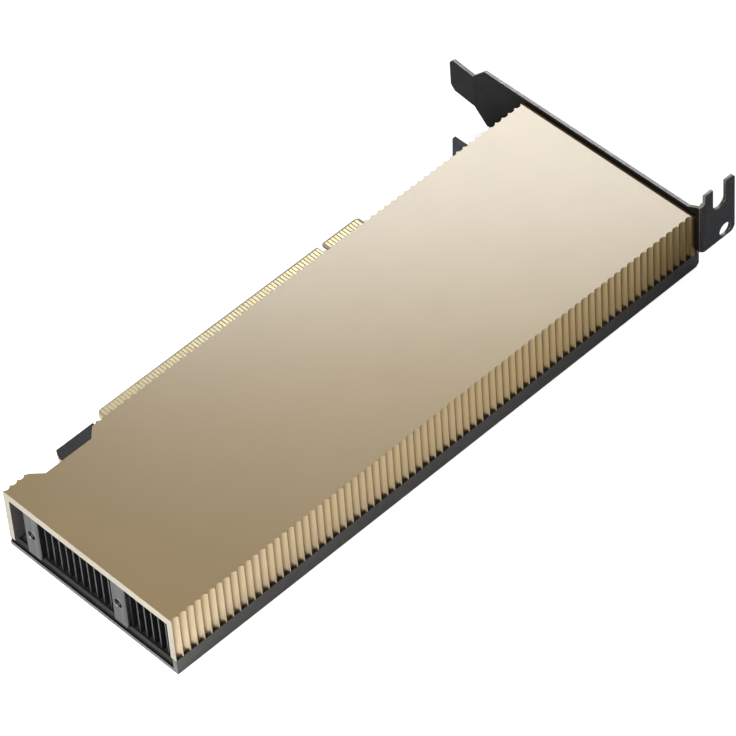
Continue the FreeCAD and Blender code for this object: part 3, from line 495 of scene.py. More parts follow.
class Finishes:
    """Every finish on the card."""

    # The cover's edge colour is a painted highlight on its rounded edges.
    CHAMPAGNE = Finish(
        "champagne_anodised", (0.725, 0.485, 0.205), (0.705, 0.47, 0.195), metallic=1.0,
        uneven=0.012, mottle=60.0, grain=5200.0, grain_depth=0.002, edge=(0.92, 0.80, 0.58),
        edge_reach=0.10, edge_share=0.5, coat=1.0, coat_index=2.5, coat_roughness=0.27)
    # The flutes are paler and less yellow than the top, a painted sheen, and their edge colour is
    # a painted highlight on the ridges.
    FLUTES = FluteFinish(
        "champagne_flutes", (0.74, 0.59, 0.39), (0.70, 0.56, 0.365), metallic=1.0, roughness=0.30,
        uneven=0.03, mottle=90.0, grain=5200.0, grain_depth=0.002, lay=Lay.ALONG_Z,
        edge=(0.98, 0.86, 0.66), edge_reach=0.22, edge_share=0.5)
    # Painted light: the intake's front face gets a paler, less yellow copy of the champagne, with
    # a painted highlight on its edges.
    RIM_LIGHT = Finish(
        "painted_rim_light", (0.58, 0.53, 0.44), (0.50, 0.455, 0.375), metallic=1.0,
        roughness=0.42, uneven=0.06, mottle=160.0, grain=5200.0, grain_depth=0.003,
        lay=Lay.ALONG_Y, edge=(0.92, 0.86, 0.74))
    # Painted shade: the inside of the cover's channel is painted dark grey.
    CHANNEL_SHADE = Finish(
        "painted_channel_shade", (0.100, 0.097, 0.095), (0.075, 0.072, 0.070), mottle=200.0,
        grain_depth=0.005)
    TRAY = Finish(
        "dark_satin_paint", (0.078, 0.075, 0.073), (0.060, 0.058, 0.056), roughness=0.42,
        uneven=0.06, mottle=150.0, grain=4200.0, grain_depth=0.006, edge=(0.15, 0.15, 0.16))
    # The bracket's edge colour is a painted highlight along its edges.
    BRACKET = Finish(
        "black_powder_coat", (0.060, 0.057, 0.054), (0.014, 0.013, 0.013), roughness=0.40,
        uneven=0.10, mottle=1300.0, grain=1500.0, grain_depth=0.03, edge=(0.16, 0.155, 0.15),
        edge_reach=0.22)
    # Painted highlight: the sheet's thin edge faces are painted pale grey.
    SHEET_EDGE_HIGHLIGHT = Finish(
        "painted_sheet_edge_highlight", (0.46, 0.40, 0.34), (0.32, 0.28, 0.235), metallic=0.6, roughness=0.40,
        uneven=0.10, mottle=500.0, grain=2600.0, grain_depth=0.010)
    # Painted shade: the plate's face towards the cover is a darker copy of the bracket's black.
    PLATE_SHADE = Finish(
        "painted_plate_shade", (0.020, 0.019, 0.017), (0.010, 0.009, 0.008), roughness=0.34,
        uneven=0.04, mottle=300.0, grain=1500.0, grain_depth=0.01, specular=0.2)
    MACHINED = Finish(
        "machined_aluminium", (0.145, 0.145, 0.145), (0.11, 0.11, 0.11), metallic=1.0,
        roughness=0.42, uneven=0.10, mottle=500.0, grain=6000.0, lay=Lay.ALONG_Z,
        edge=(0.34, 0.34, 0.34))
    THREAD = Finish(
        "dark_thread", (0.030, 0.030, 0.032), (0.018, 0.018, 0.020), metallic=0.9, roughness=0.40,
        mottle=900.0, grain=6000.0)
    FINS = Finish(
        "dark_anodised_fins", (0.095, 0.095, 0.100), (0.060, 0.060, 0.065), metallic=0.85,
        roughness=0.42, mottle=300.0, grain=5000.0, lay=Lay.ALONG_X, edge=(0.24, 0.24, 0.25),
        edge_reach=0.08)
    GOLD = Finish(
        "hard_gold_plating", (0.98, 0.80, 0.46), (0.92, 0.745, 0.42), metallic=1.0,
        roughness=0.39, uneven=0.06, mottle=900.0, grain=7000.0, grain_depth=0.003,
        lay=Lay.ALONG_Y, edge=(0.95, 0.82, 0.50), edge_reach=0.04)
    BOARD = BoardFinish(
        "solder_mask", (0.046, 0.043, 0.040), (0.030, 0.028, 0.026), roughness=0.42, grain=2600.0,
        mottle=260.0)
    SCREW = Finish(
        "black_oxide", (0.045, 0.045, 0.048), (0.028, 0.028, 0.030), metallic=0.9, roughness=0.36,
        mottle=900.0, grain=6000.0, edge=(0.22, 0.22, 0.23), edge_reach=0.06)
    COPPER = Finish(
        "satin_copper", (0.72, 0.40, 0.26), (0.60, 0.32, 0.20), metallic=1.0, roughness=0.34,
        mottle=90.0, grain=3600.0, lay=Lay.ALONG_X, edge=(0.85, 0.55, 0.40))
    LAMINATE = Finish(
        "package_laminate", (0.045, 0.110, 0.070), (0.030, 0.085, 0.055), roughness=0.45,
        mottle=500.0)
    SILICON = Finish(
        "polished_silicon", (0.22, 0.22, 0.25), (0.18, 0.18, 0.21), metallic=0.6, roughness=0.12,
        uneven=0.02, grain_depth=0.001)
    PAD = Finish(
        "soft_pad", (0.42, 0.44, 0.48), (0.36, 0.38, 0.42), roughness=0.8, mottle=600.0,
        grain=1800.0, grain_depth=0.02)
    MOULDED = Finish(
        "moulded_compound", (0.030, 0.030, 0.030), (0.020, 0.020, 0.020), roughness=0.62,
        mottle=900.0, grain=4200.0, grain_depth=0.008)
    FERRITE = Finish(
        "pressed_ferrite", (0.15, 0.15, 0.16), (0.11, 0.11, 0.12), roughness=0.55, mottle=900.0,
        grain_depth=0.01, edge=(0.28, 0.28, 0.29))
    STEEL = Finish(
        "rolled_steel", (0.55, 0.55, 0.57), (0.46, 0.46, 0.48), metallic=1.0, roughness=0.34,
        mottle=400.0, grain=5000.0, lay=Lay.ALONG_X, edge=(0.75, 0.75, 0.76))
    # Painted shade: the tray's front lip is painted near black, as dark as the shade in the
    # opening behind it.
    LIP_SHADE = Finish(
        "painted_lip_shade", (0.010, 0.010, 0.010), (0.006, 0.006, 0.006), metallic=1.0, roughness=0.70,
        mottle=300.0)
    # Painted light: the front face of the tray's floor is painted a lighter grey than the tray.
    FRONT_FACE_LIGHT = Finish(
        "painted_front_face_light", (0.13, 0.13, 0.132), (0.09, 0.09, 0.092), roughness=0.45, mottle=300.0)
    FILM = Finish(
        "black_film", (0.035, 0.035, 0.036), (0.025, 0.025, 0.026), roughness=0.3, mottle=200.0,
        grain=1500.0)


class Wardrobe:
    """Makes each material once and hands it out."""

    def __init__(self) -> None:
        """Start with nothing made."""
        self._made: dict[str, bpy.types.Material] = {}

    def get(self, finish: Finish) -> bpy.types.Material:
        """The material of a finish.

        Args:
            finish: the finish.

        Returns:
            Its material, which is made the first time.
        """
        if finish.name not in self._made:
            self._made[finish.name] = finish.material()
        return self._made[finish.name]

    def add(self, piece: bpy.types.Object, *finishes: Finish) -> None:
        """Give a piece more materials, for some of its faces."""
        for finish in finishes:
            piece.data.materials.append(self.get(finish))

    def dress(self, piece: bpy.types.Object, finish: Finish) -> None:
        """Give a piece one material all over."""
        piece.data.materials.clear()
        self.add(piece, finish)


WARDROBE = Wardrobe()


def to_object(name: str, mesh: bmesh.types.BMesh) -> bpy.types.Object:
    """Put a mesh in the scene.

    Args:
        name: the object's name.
        mesh: its mesh, which is freed.

    Returns:
        The new object, at the origin.
    """
    data = bpy.data.meshes.new(name)
    mesh.to_mesh(data)
    mesh.free()
    item = bpy.data.objects.new(name, data)
    bpy.context.scene.collection.objects.link(item)
    return item


def new_piece(name: str, mesh: bmesh.types.BMesh, finish: Finish,
              replaces: tuple[str, ...] = (), smooth_below: float = 30.0) -> bpy.types.Object:
    """Turn a finished mesh into a piece that rides on the card.

    Args:
        name: the piece's name.
        mesh: the mesh, which is freed.
        finish: its finish.
        replaces: the solids that it stands for.
        smooth_below: edges under this angle, in degrees, are shaded smooth.

    Returns:
        The new object.
    """
    bmesh.ops.remove_doubles(mesh, verts=mesh.verts, dist=SAME_POINT * MM)
    bmesh.ops.recalc_face_normals(mesh, faces=mesh.faces)
    piece = to_object(name, mesh)
    piece.data.set_sharp_from_angle(angle=math.radians(smooth_below))
    for face in piece.data.polygons:
        face.use_smooth = face.loop_total <= SMOOTH_CORNERS and face.area < SMOOTH_AREA
    WARDROBE.dress(piece, finish)
    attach(piece, BODY)
    if replaces:
        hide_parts(*replaces)
    LOG.info("%s: %d faces", name, len(piece.data.polygons))
    return piece


def raise_faces(mesh: bmesh.types.BMesh, faces: list[bmesh.types.BMFace],
                height: float) -> None:
    """Extrude faces straight up.

    Args:
        mesh: the mesh that they are in.
        faces: the faces.
        height: how far they rise, in millimetres.
    """
    raised = bmesh.ops.extrude_face_region(mesh, geom=faces)
    top = [item for item in raised["geom"] if isinstance(item, bmesh.types.BMVert)]
    bmesh.ops.translate(mesh, verts=top, vec=(0, 0, height * MM))


def prism(plan: Outline, low: float, high: float) -> bmesh.types.BMesh:
    """An upright prism.

    Args:
        plan: the corners of its plan, in millimetres.
        low: its lower level, in millimetres.
        high: its upper level, in millimetres.

    Returns:
        A new mesh.
    """
    mesh = bmesh.new()
    base = mesh.faces.new([mesh.verts.new(metres((x, y, low))) for x, y in plan])
    raise_faces(mesh, [base], high - low)
    return mesh


def block(low: Point, high: Point) -> bmesh.types.BMesh:
    """A box between two corners.

    Args:
        low: its lowest corner, in millimetres.
        high: its highest corner, in millimetres.

    Returns:
        A new mesh.
    """
    mesh = bmesh.new()
    start, end = metres(low), metres(high)
    sides = Matrix.Diagonal((*(end - start), 1.0))
    bmesh.ops.create_cube(mesh, size=1.0, matrix=Matrix.Translation((start + end) / 2) @ sides)
    return mesh


def cut(mesh: bmesh.types.BMesh, tool: bmesh.types.BMesh) -> bmesh.types.BMesh:
    """Cut one mesh out of another.

    Args:
        mesh: the mesh that is cut, which is freed.
        tool: the closed mesh that is cut away, which is freed.

    Returns:
        A new mesh of what is left.
    """
    for source in (mesh, tool):
        bmesh.ops.recalc_face_normals(source, faces=source.faces)
    blank, cutter = to_object("cut_blank", mesh), to_object("cut_tool", tool)
    modifier = blank.modifiers.new("cut", "BOOLEAN")
    modifier.operation = "DIFFERENCE"
    modifier.solver = "EXACT"
    modifier.object = cutter
    graph = bpy.context.evaluated_depsgraph_get()
    result = bmesh.new()
    result.from_mesh(blank.evaluated_get(graph).to_mesh())
    for item in (blank, cutter):
        data = item.data
        bpy.data.objects.remove(item)
        bpy.data.meshes.remove(data)
    return result


def soften(mesh: bmesh.types.BMesh, width: float, above: float) -> None:
    """Round the sharp edges of a mesh.

    Args:
        mesh: the mesh to change.
        width: the width of the rounding in millimetres.
        above: edges over this angle, in degrees, are sharp.
    """
    sharp = [edge for edge in mesh.edges
             if edge.is_manifold and edge.calc_face_angle(0.0) > math.radians(above)]
    bmesh.ops.bevel(mesh, geom=sharp, offset=width * MM, offset_type="OFFSET",
                    segments=SOFT_STRIPS, profile=0.5, affect="EDGES", clamp_overlap=True,
                    material=-1)


def joined_copy(node: str) -> bmesh.types.BMesh:
    """A solid's mesh with its loose triangles joined.

    Args:
        node: the solid's name.

    Returns:
        A new mesh.
    """
    mesh = bmesh.new()
    mesh.from_mesh(frame["nodes"][node].data)
    bmesh.ops.remove_doubles(mesh, verts=mesh.verts, dist=COPY_SAME_POINT * MM)
    return mesh


def merge_flat(mesh: bmesh.types.BMesh, angle: float) -> None:
    """Make one face of the faces that meet at less than an angle in degrees."""
    bmesh.ops.dissolve_limit(mesh, angle_limit=math.radians(angle), verts=mesh.verts,
                             edges=mesh.edges)


def centres_of(node: str) -> list[Vector]:
    """The middle of each separate solid in a node.

    Args:
        node: the node's name.

    Returns:
        The middles in order, in metres.
    """
    mesh = joined_copy(node)
    waiting = set(mesh.verts)
    centres = []
    while waiting:
        island = [waiting.pop()]
        for vert in island:
            near = {edge.other_vert(vert) for edge in vert.link_edges} & waiting
            waiting -= near
            island.extend(near)
        low = Vector(min(vert.co[axis] for vert in island) for axis in range(3))
        high = Vector(max(vert.co[axis] for vert in island) for axis in range(3))
        centres.append((low + high) / 2)
    mesh.free()
    return sorted(centres, key=lambda centre: tuple(centre))


@dataclass
class FlutedCover:
    """The champagne cover: a channel with round concave flutes and crisp ridges."""

    flute_pitch: float = 2.207
    flute_width: float = 2.0
    flute_depth: float = 0.55
    flute_count: int = 76
    arc_steps: int = 8
    top_wall: float = 2.2
    side_wall: float = 1.8
    board_half: float = 0.785
    ledge_height: float = 0.55
    board_front: float = -88.6
    recess_front: float = -104.0
    recess_rear: float = -83.5
    recess_depth: float = 3.2
    step_length: float = 1.45
    step_depth: float = 1.0
    edge_width: float = 0.07
    sharp_above: float = 32.0
    smooth_below: float = 28.0
    flat_within: float = 0.5
    beyond: float = 2.0
    slack: float = 0.01
    overhang: float = 0.5
    low: Vector = field(default_factory=lambda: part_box("fluted_cover")[0] / MM)
    high: Vector = field(default_factory=lambda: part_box("fluted_cover")[1] / MM)

    def flute_side(self, mesh: bmesh.types.BMesh, wall: float, inwards: float,
                   backwards: bool) -> list[bmesh.types.BMVert]:
        """One long side's line of flutes at the cover's lowest level.

        Args:
            mesh: the mesh to add the line to.
            wall: Y of the ridges.
            inwards: 1 or -1, the way into the cover along Y.
            backwards: whether the line runs towards the intake end.

        Returns:
            The line's first and last point.
        """
        half = self.flute_width / 2
        radius = (half ** 2 + self.flute_depth ** 2) / (2 * self.flute_depth)
        sweep = 2 * math.asin(half / radius)
        way = -1.0 if backwards else 1.0
        order = range(self.flute_count)
        last = None
        ends = []
        for index in reversed(order) if backwards else order:
            middle = self.low.x + self.flute_pitch * (index + 0.5)
            centre = metres((middle, wall - inwards * (radius - self.flute_depth), self.low.z))
            start = mesh.verts.new(metres((middle - way * half, wall, self.low.z)))
            ends.append(start)
            if last is not None:
                mesh.edges.new((last, start))
            swept = bmesh.ops.spin(mesh, geom=[start], cent=centre, axis=(0, 0, 1),
                                   angle=-inwards * way * sweep, steps=self.arc_steps,
                                   use_duplicate=False)
            last = next(item for item in swept["geom_last"]
                        if isinstance(item, bmesh.types.BMVert))
        ends.append(last)
        return [ends[0], ends[-1]]

    def blank(self) -> bmesh.types.BMesh:
        """The cover's full outline, raised from its lowest level to its top.

        Returns:
            A new mesh.
        """
        mesh = bmesh.new()
        front_far, rear_far, rear_near, front_near = (
            mesh.verts.new(metres((x, y, self.low.z)))
            for x, y in ((self.low.x, self.low.y), (self.high.x, self.low.y),
                         (self.high.x, self.high.y), (self.low.x, self.high.y)))
        far = self.flute_side(mesh, self.low.y, 1.0, False)
        near = self.flute_side(mesh, self.high.y, -1.0, True)
        for pair in ((front_far, far[0]), (far[1], rear_far), (rear_far, rear_near),
                     (rear_near, near[0]), (near[1], front_near), (front_near, front_far)):
            mesh.edges.new(pair)
        base = bmesh.ops.contextual_create(mesh, geom=mesh.edges)["faces"]
        raise_faces(mesh, base, self.high.z - self.low.z)
        return mesh

    def hollow(self) -> list[bmesh.types.BMesh]:
        """What is cut away: the channel, the ledges, the latch recess and the rear step.

        Returns:
            A closed mesh for each.
        """
        slope = self.side_wall * MITRE
        front, rear = self.low.x - self.beyond, self.high.x + self.beyond
        outer_far, outer_near = self.low.y - self.beyond, self.high.y + self.beyond
        far = self.low.y + self.side_wall
        near = self.high.y - self.side_wall
        jog = near - self.recess_depth
        bottom = self.low.z - self.beyond
        channel = prism([
            (front, far),
            (rear, far),
            (rear, near),
            (self.recess_rear + slope, near),
            (self.recess_rear + slope - self.recess_depth, jog),
            (self.recess_front - slope + self.recess_depth, jog),
            (self.recess_front - slope, near),
            (front, near),
        ], bottom, self.high.z - self.top_wall)
        floor = self.high.y - self.recess_depth
        recess = prism([
            (self.recess_front - self.beyond, outer_near),
            (self.recess_front + self.recess_depth, floor),
            (self.recess_rear - self.recess_depth, floor),
            (self.recess_rear + self.beyond, outer_near),
        ], bottom, self.high.z + self.beyond)
        ledge = block((front, outer_far, bottom),
                      (rear, far + self.beyond, self.board_half + self.ledge_height))
        board = block((self.board_front, jog - self.beyond, bottom),
                      (rear, outer_near, self.board_half))
        step = block((self.high.x - self.step_length, outer_far, self.high.z - self.step_depth),
                     (rear, outer_near, self.high.z + self.beyond))
        return [channel, recess, ledge, board, step]

    def dress_faces(self, piece: bpy.types.Object) -> None:
        """Give the channel's inside its painted shade, the fluted sides their finish with painted
        shade and highlights, and the intake's rim its painted light.

        Args:
            piece: the cover.
        """
        WARDROBE.add(piece, Finishes.CHANNEL_SHADE, Finishes.FLUTES, Finishes.RIM_LIGHT)
        channel_shade, fluted, rim = 1, 2, 3
        far = self.low.y + self.side_wall
        near = self.high.y - self.side_wall
        middle = (far + near) / 2
        ceiling = self.high.z - self.top_wall
        for face in piece.data.polygons:
            centre, normal = face.center / MM, face.normal
            within = (far - self.slack < centre.y < near + self.slack
                      and centre.z < ceiling + self.slack)
            inwards = normal.y * (centre.y - middle) < -LEANING or normal.z < -self.overhang
            if normal.x < -FACING and centre.x < self.low.x + self.slack:
                face.material_index = rim
            elif within and inwards:
                face.material_index = channel_shade
            elif not within and abs(normal.z) < LEANING:
                face.material_index = fluted

    def build(self) -> bpy.types.Object:
        """Make the cover.

        Returns:
            The cover, in place of the plain solid.
        """
        mesh = self.blank()
        for tool in self.hollow():
            mesh = cut(mesh, tool)
        bmesh.ops.remove_doubles(mesh, verts=mesh.verts, dist=SAME_POINT * MM)
        merge_flat(mesh, self.flat_within)
        soften(mesh, self.edge_width, self.sharp_above)
        piece = new_piece("cover_shell", mesh, Finishes.CHAMPAGNE,
                          ("fluted_cover",), self.smooth_below)
        self.dress_faces(piece)
        return piece


@dataclass(frozen=True)
class SoftenedSolid:
    """A plain solid shown with small rounded edges."""

    node: str
    name: str
    finish: Finish
    slot: str
    width: float = 0.12
    sharp_above: float = 25.0
    flat_within: float = 1.0

    def build(self) -> bpy.types.Object:
        """Copy the solid, round its edges and dress it.

        Returns:
            The piece, in place of the plain solid.
        """
        mesh = joined_copy(self.node)
        merge_flat(mesh, self.flat_within)
        soften(mesh, self.width, self.sharp_above)
        return new_piece(self.name, mesh, self.finish, (self.node,))


@dataclass(frozen=True)
class Bracket(SoftenedSolid):
    """The folded bracket, whose sheet's thin edges carry a painted highlight."""

    plate_inner: float = 58.14
    tab_outer: float = -70.9
    sheet: float = 0.86

    def build(self) -> bpy.types.Object:
        """Copy the solid, paint a highlight on the sheet's edge faces and painted shade on the
        plate's inside.

        Returns:
            The piece, in place of the plain solid.
        """
        piece = super().build()
        WARDROBE.add(piece, Finishes.SHEET_EDGE_HIGHLIGHT, Finishes.PLATE_SHADE)
        edge, inside = 1, 2
        for face in piece.data.polygons:
            centre = face.center / MM
            in_tab = centre.y < self.tab_outer + self.sheet + self.width
            in_plate = centre.x > self.plate_inner - self.width
            across = abs(face.normal.y) if in_tab else abs(face.normal.x)
            # Thin edge faces of the tab and the plate get the painted highlight, the plate's
            # inward face the painted shade.
            if (in_tab or in_plate) and across < LEANING:
                face.material_index = edge
            elif in_plate and not in_tab and face.normal.x < -FACING:
                face.material_index = inside
        return piece


@dataclass(frozen=True)
class Tray(SoftenedSolid):
    """The tray, with painted shade on its front lip and painted light on the front face of its
    floor.
    """

    floor_front: float = -111.04
    floor_top: float = -2.065
    lip_rear: float = -109.9

    def build(self) -> bpy.types.Object:
        """Copy the solid and paint shade on the lip and light on the floor's front face at the
        intake.

        Returns:
            The piece, in place of the plain solid.
        """
        piece = super().build()
        WARDROBE.add(piece, Finishes.LIP_SHADE, Finishes.FRONT_FACE_LIGHT)
        lip, front = 1, 2
        for face in piece.data.polygons:
            centre = face.center / MM
            # The floor's front face gets the painted light, the lip above it the painted shade.
            if centre.x < self.floor_front + self.width and face.normal.x < -LEANING:
                face.material_index = front
            elif centre.x < self.lip_rear and centre.z > self.floor_top - self.width:
                face.material_index = lip
        return piece


@dataclass(frozen=True)
class CarriedNodes:
    """Solids that are shown as they are, with one finish."""

    finish: Finish
    nodes: tuple[str, ...]

    def dress(self) -> None:
        """Give the solids their finish."""
        for node in self.nodes:
            WARDROBE.dress(frame["nodes"][node], self.finish)
            LOG.info("%s: %s", node, self.finish.name)


@dataclass
class IntakeThread:
    """The turned rim and the thread in one intake post's hole."""

    name: str
    centre: Vector
    hole: float = 1.25
    rim_radius: float = 1.72
    rim_height: float = 0.08
    rim_bevel: float = 0.1
    mouth_bevel: float = 0.06
    pitch: float = 0.5
    ridge_half: float = 0.21
    depth: float = 5.0
    thread_depth: float = 0.14
    steps: int = 20

    def section(self, mesh: bmesh.types.BMesh, start: float,
                profile: Outline) -> list[bmesh.types.BMVert]:
        """The points of a section beside the hole's axis.

        Args:
            mesh: the mesh to add them to.
            start: how far the section lies along the hole, in millimetres.
            profile: how far each point lies along the hole and from its axis.

        Returns:
            The points.
        """
        x, y, z = self.centre
        return [mesh.verts.new(metres((x + start + along, y + out, z))) for along, out in profile]

    def rim(self) -> bmesh.types.BMesh:
        """A low turned rim round the mouth of the hole.

        Returns:
            A new mesh.
        """
        mesh = bmesh.new()
        points = self.section(mesh, 0.0, [
            (0.0, self.hole),
            (-self.rim_height, self.hole + self.mouth_bevel),
            (-self.rim_height, self.rim_radius - self.rim_bevel),
            (0.0, self.rim_radius),
        ])
        edges = [mesh.edges.new(pair) for pair in zip(points, points[1:] + points[:1])]
        bmesh.ops.spin(mesh, geom=points + edges, cent=metres(self.centre), axis=(1, 0, 0),
                       angle=math.tau, steps=self.steps * 2, use_merge=True,
                       use_duplicate=False)
        return mesh

    def thread(self) -> bmesh.types.BMesh:
        """A helical ridge standing out of the hole's wall.

        Returns:
            A new mesh.
        """
        mesh = bmesh.new()
        points = self.section(mesh, self.pitch / 2, [
            (-self.ridge_half, self.hole),
            (0.0, self.hole - self.thread_depth),
            (self.ridge_half, self.hole),
        ])
        face = mesh.faces.new(points)
        turns = int(self.depth / self.pitch) - 1
        bmesh.ops.spin(mesh, geom=[face], cent=metres(self.centre), axis=(1, 0, 0),
                       dvec=(self.pitch / self.steps * MM, 0, 0), angle=math.tau * turns,
                       steps=turns * self.steps, use_duplicate=False)
        return mesh

    def build(self) -> None:
        """Make the rim and the thread."""
        new_piece(f"{self.name}_rim", self.rim(), Finishes.MACHINED)
        new_piece(f"{self.name}_thread", self.thread(), Finishes.THREAD)


@dataclass
class TrayScrew:
    """A countersunk screw with a six-lobed recess, flush with the tray's floor."""

    centre: Vector
    head_radius: float = 1.8
    head_height: float = 0.8
    head_bevel: float = 0.08
    head_edge: float = 0.05
    shank_radius: float = 1.0
    tip_bevel: float = 0.2
    drive_radius: float = 0.95
    drive_depth: float = 0.45
    drive_overshoot: float = 1.0
    lobes: int = 6
    lobe_depth: float = 0.14
    lobe_corners: int = 4
    steps: int = 40

    @property
    def length(self) -> float:
        """The screw's full length."""
        low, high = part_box("tray_screws")
        return (high.z - low.z) / MM

    @property
    def low(self) -> float:
        """The level of the head's face."""
        return self.centre.z - self.length / 2

    def turned(self) -> bmesh.types.BMesh:
        """The screw's turned body, upside down with its head at the bottom.

        Returns:
            A new mesh.
        """
        mesh = bmesh.new()
        tip = self.low + self.length
        profile = [
            (0.0, self.low),
            (self.head_radius - self.head_bevel, self.low),
            (self.head_radius, self.low + self.head_edge),
            (self.shank_radius, self.low + self.head_height),
            (self.shank_radius, tip - self.tip_bevel),
            (self.shank_radius - self.tip_bevel, tip),
            (0.0, tip),
        ]
        points = [mesh.verts.new(metres((self.centre.x + out, self.centre.y, level)))
                  for out, level in profile]
        edges = [mesh.edges.new(pair) for pair in zip(points, points[1:])]
        bmesh.ops.spin(mesh, geom=points + edges, cent=metres(self.centre), axis=(0, 0, 1),
                       angle=math.tau, steps=self.steps, use_merge=True, use_duplicate=False)
        bmesh.ops.remove_doubles(mesh, verts=mesh.verts, dist=COPY_SAME_POINT * MM)
        return mesh

    def drive(self) -> bmesh.types.BMesh:
        """The six-lobed recess that is cut from the head.

        Returns:
            A new mesh.
        """
        mesh = bmesh.new()
        circle = bmesh.ops.create_circle(mesh, cap_ends=True,
                                         segments=self.lobes * self.lobe_corners,
                                         radius=self.drive_radius * MM)
        for index, vert in enumerate(circle["verts"]):
            dip = (1.0 - math.cos(math.tau * index / self.lobe_corners)) / 2
            vert.co.xy *= 1.0 - self.lobe_depth * dip
        start = (self.centre.x, self.centre.y, self.low - self.drive_overshoot)
        bmesh.ops.translate(mesh, verts=mesh.verts, vec=metres(start))
        raise_faces(mesh, list(mesh.faces), self.drive_overshoot + self.drive_depth)
        return mesh

    def mesh(self) -> bmesh.types.BMesh:
        """The whole screw."""
        return cut(self.turned(), self.drive())


class TrayScrews:
    """The six screws as one piece."""

    def build(self) -> bpy.types.Object:
        """Make the screws where their plain solids stand.

        Returns:
            The piece, in place of the plain solids.
        """
        joined = bmesh.new()
        for centre in centres_of("tray_screws"):
            screw = TrayScrew(centre / MM).mesh()
            data = bpy.data.meshes.new("screw")
            screw.to_mesh(data)
            screw.free()
            joined.from_mesh(data)
            bpy.data.meshes.remove(data)
        return new_piece("lobed_screws", joined, Finishes.SCREW,
                         ("tray_screws",))


def aimed(place: Point, aim: Point) -> Quaternion:
    """The turn of a lamp or a camera that looks from one point to another."""
    return (metres(aim) - metres(place)).to_track_quat("-Z", "Y")


@dataclass(frozen=True)
class Lamp:
    """A soft rectangular lamp aimed at a point of the card."""

    name: str
    place: Point
    aim: Point
    size: tuple[float, float]
    power: float
    colour: Colour = WHITE

    def build(self) -> None:
        """Make the lamp."""
        data = bpy.data.lights.new(self.name, "AREA")
        data.shape = "RECTANGLE"
        data.size, data.size_y = (side * MM for side in self.size)
        data.energy = self.power
        data.color = self.colour
        lamp = bpy.data.objects.new(self.name, data)
        lamp.location = metres(self.place)
        lamp.rotation_euler = aimed(self.place, self.aim).to_euler()
        bpy.context.scene.collection.objects.link(lamp)


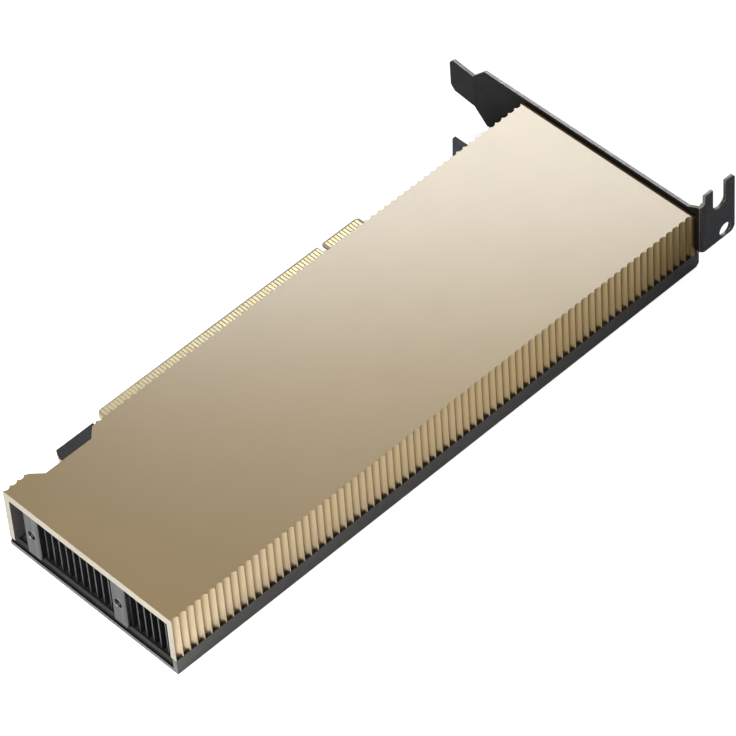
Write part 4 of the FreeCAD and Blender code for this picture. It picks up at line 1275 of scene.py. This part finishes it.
@dataclass(frozen=True)
class Studio:
    """The pale floor, the soft light and the camera."""

    floor_half: float = 1500.0
    floor_gap: float = 0.02
    floor_colour: Colour = (0.9, 0.9, 0.9)
    floor_roughness: float = 0.9
    world_strength: float = 0.12
    horizon_mirrored: float = 1.0
    horizon_top: float = 0.40
    floor_white: float = 0.85
    mirrored_front: float = 0.28
    mirrored_rear: float = 0.0
    graded_from: float = -10.0
    graded_to: float = 62.0
    camera_place: Point = (-514.80, -603.34, 826.55)
    camera_aim: Point = (-19.61, -36.59, 0.0)
    camera_roll: float = -4.609
    focal_pixels: float = 4778.0
    image_pixels: float = 736.0
    sensor: float = 36.0
    lamps: tuple[Lamp, ...] = (
        Lamp("far_softbox", (213.0, 164.0, 237.0), (80.0, 12.0, 15.0), (300.0, 120.0), 0.305,
             (0.89, 1.02, 1.20)),
        Lamp("front_softbox", (-240.0, -60.0, 105.0), (-105.0, -72.0, 0.0), (100.0, 100.0), 0.45),
    )

    def floor(self) -> None:
        """A pale floor that keeps the card's soft shadow, and that reflections alone see glowing
        more at the intake end: a painted reflection.
        """
        mesh = bmesh.new()
        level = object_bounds()[0][2] - self.floor_gap * MM
        bmesh.ops.create_grid(mesh, x_segments=1, y_segments=1, size=self.floor_half * MM)
        bmesh.ops.translate(mesh, verts=mesh.verts, vec=(0, 0, level))
        floor = to_object("floor", mesh)
        graph = Graph("pale_floor")
        graph.shader.inputs["Base Color"].default_value = opaque(self.floor_colour)
        graph.shader.inputs["Roughness"].default_value = self.floor_roughness
        graph.shader.inputs["Specular IOR Level"].default_value = 0.0
        rays = graph.add("LightPath").outputs
        seen = graph.math("MAXIMUM", rays["Is Camera Ray"], rays["Is Transmission Ray"])
        # Painted reflection: a glow that only reflections see, fading from the intake end to
        # nothing by the bracket.
        along = graph.add("SeparateXYZ", Vector=graph.place()).outputs["X"]
        graded = graph.spread(along, self.graded_from * MM, self.graded_to * MM,
                              self.mirrored_front, self.mirrored_rear)
        mirrored = graph.math("MULTIPLY", rays["Is Glossy Ray"], graded)
        strength = graph.math("ADD", graph.math("MULTIPLY", seen, self.floor_white), mirrored)
        white = graph.add("Emission", Color=opaque(WHITE), Strength=strength)
        blend = graph.add("AddShader")
        graph.feed(blend.inputs[0], graph.shader.outputs["BSDF"])
        graph.feed(blend.inputs[1], white.outputs["Emission"])
        output = graph.tree.nodes["Material Output"]
        graph.feed(output.inputs["Surface"], blend.outputs["Shader"])
        floor.data.materials.append(graph.material)
        floor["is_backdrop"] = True

    def world(self) -> None:
        """A pale surround, which metal mirrors brighter towards the horizon."""
        graph = SurroundGraph("surround")
        bpy.context.scene.world = graph.world
        rise = graph.add("SeparateXYZ", Vector=graph.add("TexCoord").outputs["Generated"])
        band = graph.spread(rise.outputs["Z"], 0.0, self.horizon_top, self.horizon_mirrored, 0.0)
        glossy = graph.add("LightPath").outputs["Is Glossy Ray"]
        strength = graph.math("ADD", graph.math("MULTIPLY", glossy, band), self.world_strength)
        graph.shader.inputs["Color"].default_value = opaque(WHITE)
        graph.feed(graph.shader.inputs["Strength"], strength)

    def camera(self) -> None:
        """The camera at the photo's place, turned about its own axis to match."""
        data = bpy.data.cameras.new("camera")
        data.sensor_width = self.sensor
        data.lens = self.focal_pixels / self.image_pixels * self.sensor
        camera = bpy.data.objects.new("camera", data)
        camera.location = metres(self.camera_place)
        roll = Quaternion((0, 0, 1), math.radians(self.camera_roll))
        level = aimed(self.camera_place, self.camera_aim)
        camera.rotation_euler = (level @ roll).to_euler()
        bpy.context.scene.collection.objects.link(camera)
        bpy.context.scene.camera = camera

    def build(self) -> None:
        """Set up everything that isn't part of the card."""
        bpy.context.scene.view_settings.view_transform = "Standard"
        self.camera()
        self.world()
        self.floor()
        for lamp in self.lamps:
            lamp.build()


SOFTENED = (
    Tray("backplate_tray", "tray", Finishes.TRAY, "dark_painted_metal"),
    Bracket("bracket", "folded_bracket", Finishes.BRACKET, "black_steel"),
    SoftenedSolid("intake_post_near", "near_post", Finishes.MACHINED, "machined_metal",
                  width=0.10),
    SoftenedSolid("intake_post_far", "far_post", Finishes.MACHINED, "machined_metal",
                  width=0.10),
)

CARRIED = (
    CarriedNodes(Finishes.BOARD, ("circuit_board",)),
    CarriedNodes(Finishes.GOLD, ("contacts_component_side", "contacts_solder_side")),
    CarriedNodes(Finishes.FINS, ("fin_block",)),
    CarriedNodes(Finishes.COPPER, ("vapour_chamber",)),
    CarriedNodes(Finishes.LAMINATE, ("processor_package",)),
    CarriedNodes(Finishes.STEEL, ("package_stiffener", "clock_crystal", "spring_plate",
                                  "spring_screws")),
    CarriedNodes(Finishes.SILICON, ("processor_die",)),
    CarriedNodes(Finishes.PAD, ("thermal_paste", "memory_pads", "power_pads")),
    CarriedNodes(Finishes.MOULDED, ("memory_chips", "power_stages", "bulk_capacitors",
                                    "power_controller", "firmware_memory")),
    CarriedNodes(Finishes.FERRITE, ("inductors",)),
    CarriedNodes(Finishes.FILM, ("insulating_sheet",)),
)


def intake_threads() -> list[IntakeThread]:
    """The two threads, at the holes that the record's mount gives.

    Returns:
        The near one and the far one.
    """
    mounts = frame["record"]["mounts"]
    holes = next(mount for mount in mounts if mount["name"] == "intake_holes")
    middle = Vector(holes["pos_m"]) / MM
    apart = Vector((0.0, holes["dims"]["spacing_x_mm"] / 2, 0.0))
    return [IntakeThread("near_post", middle + apart), IntakeThread("far_post", middle - apart)]


def main() -> None:
    """Build and dress the card, then the studio round it."""
    logging.basicConfig(level=logging.INFO, format="%(message)s")
    Studio().build()
    FlutedCover().build()
    for solid in SOFTENED:
        solid.build()
    for thread in intake_threads():
        thread.build()
    TrayScrews().build()
    for nodes in CARRIED:
        nodes.dress()


if __name__ == "__main__":
    main()
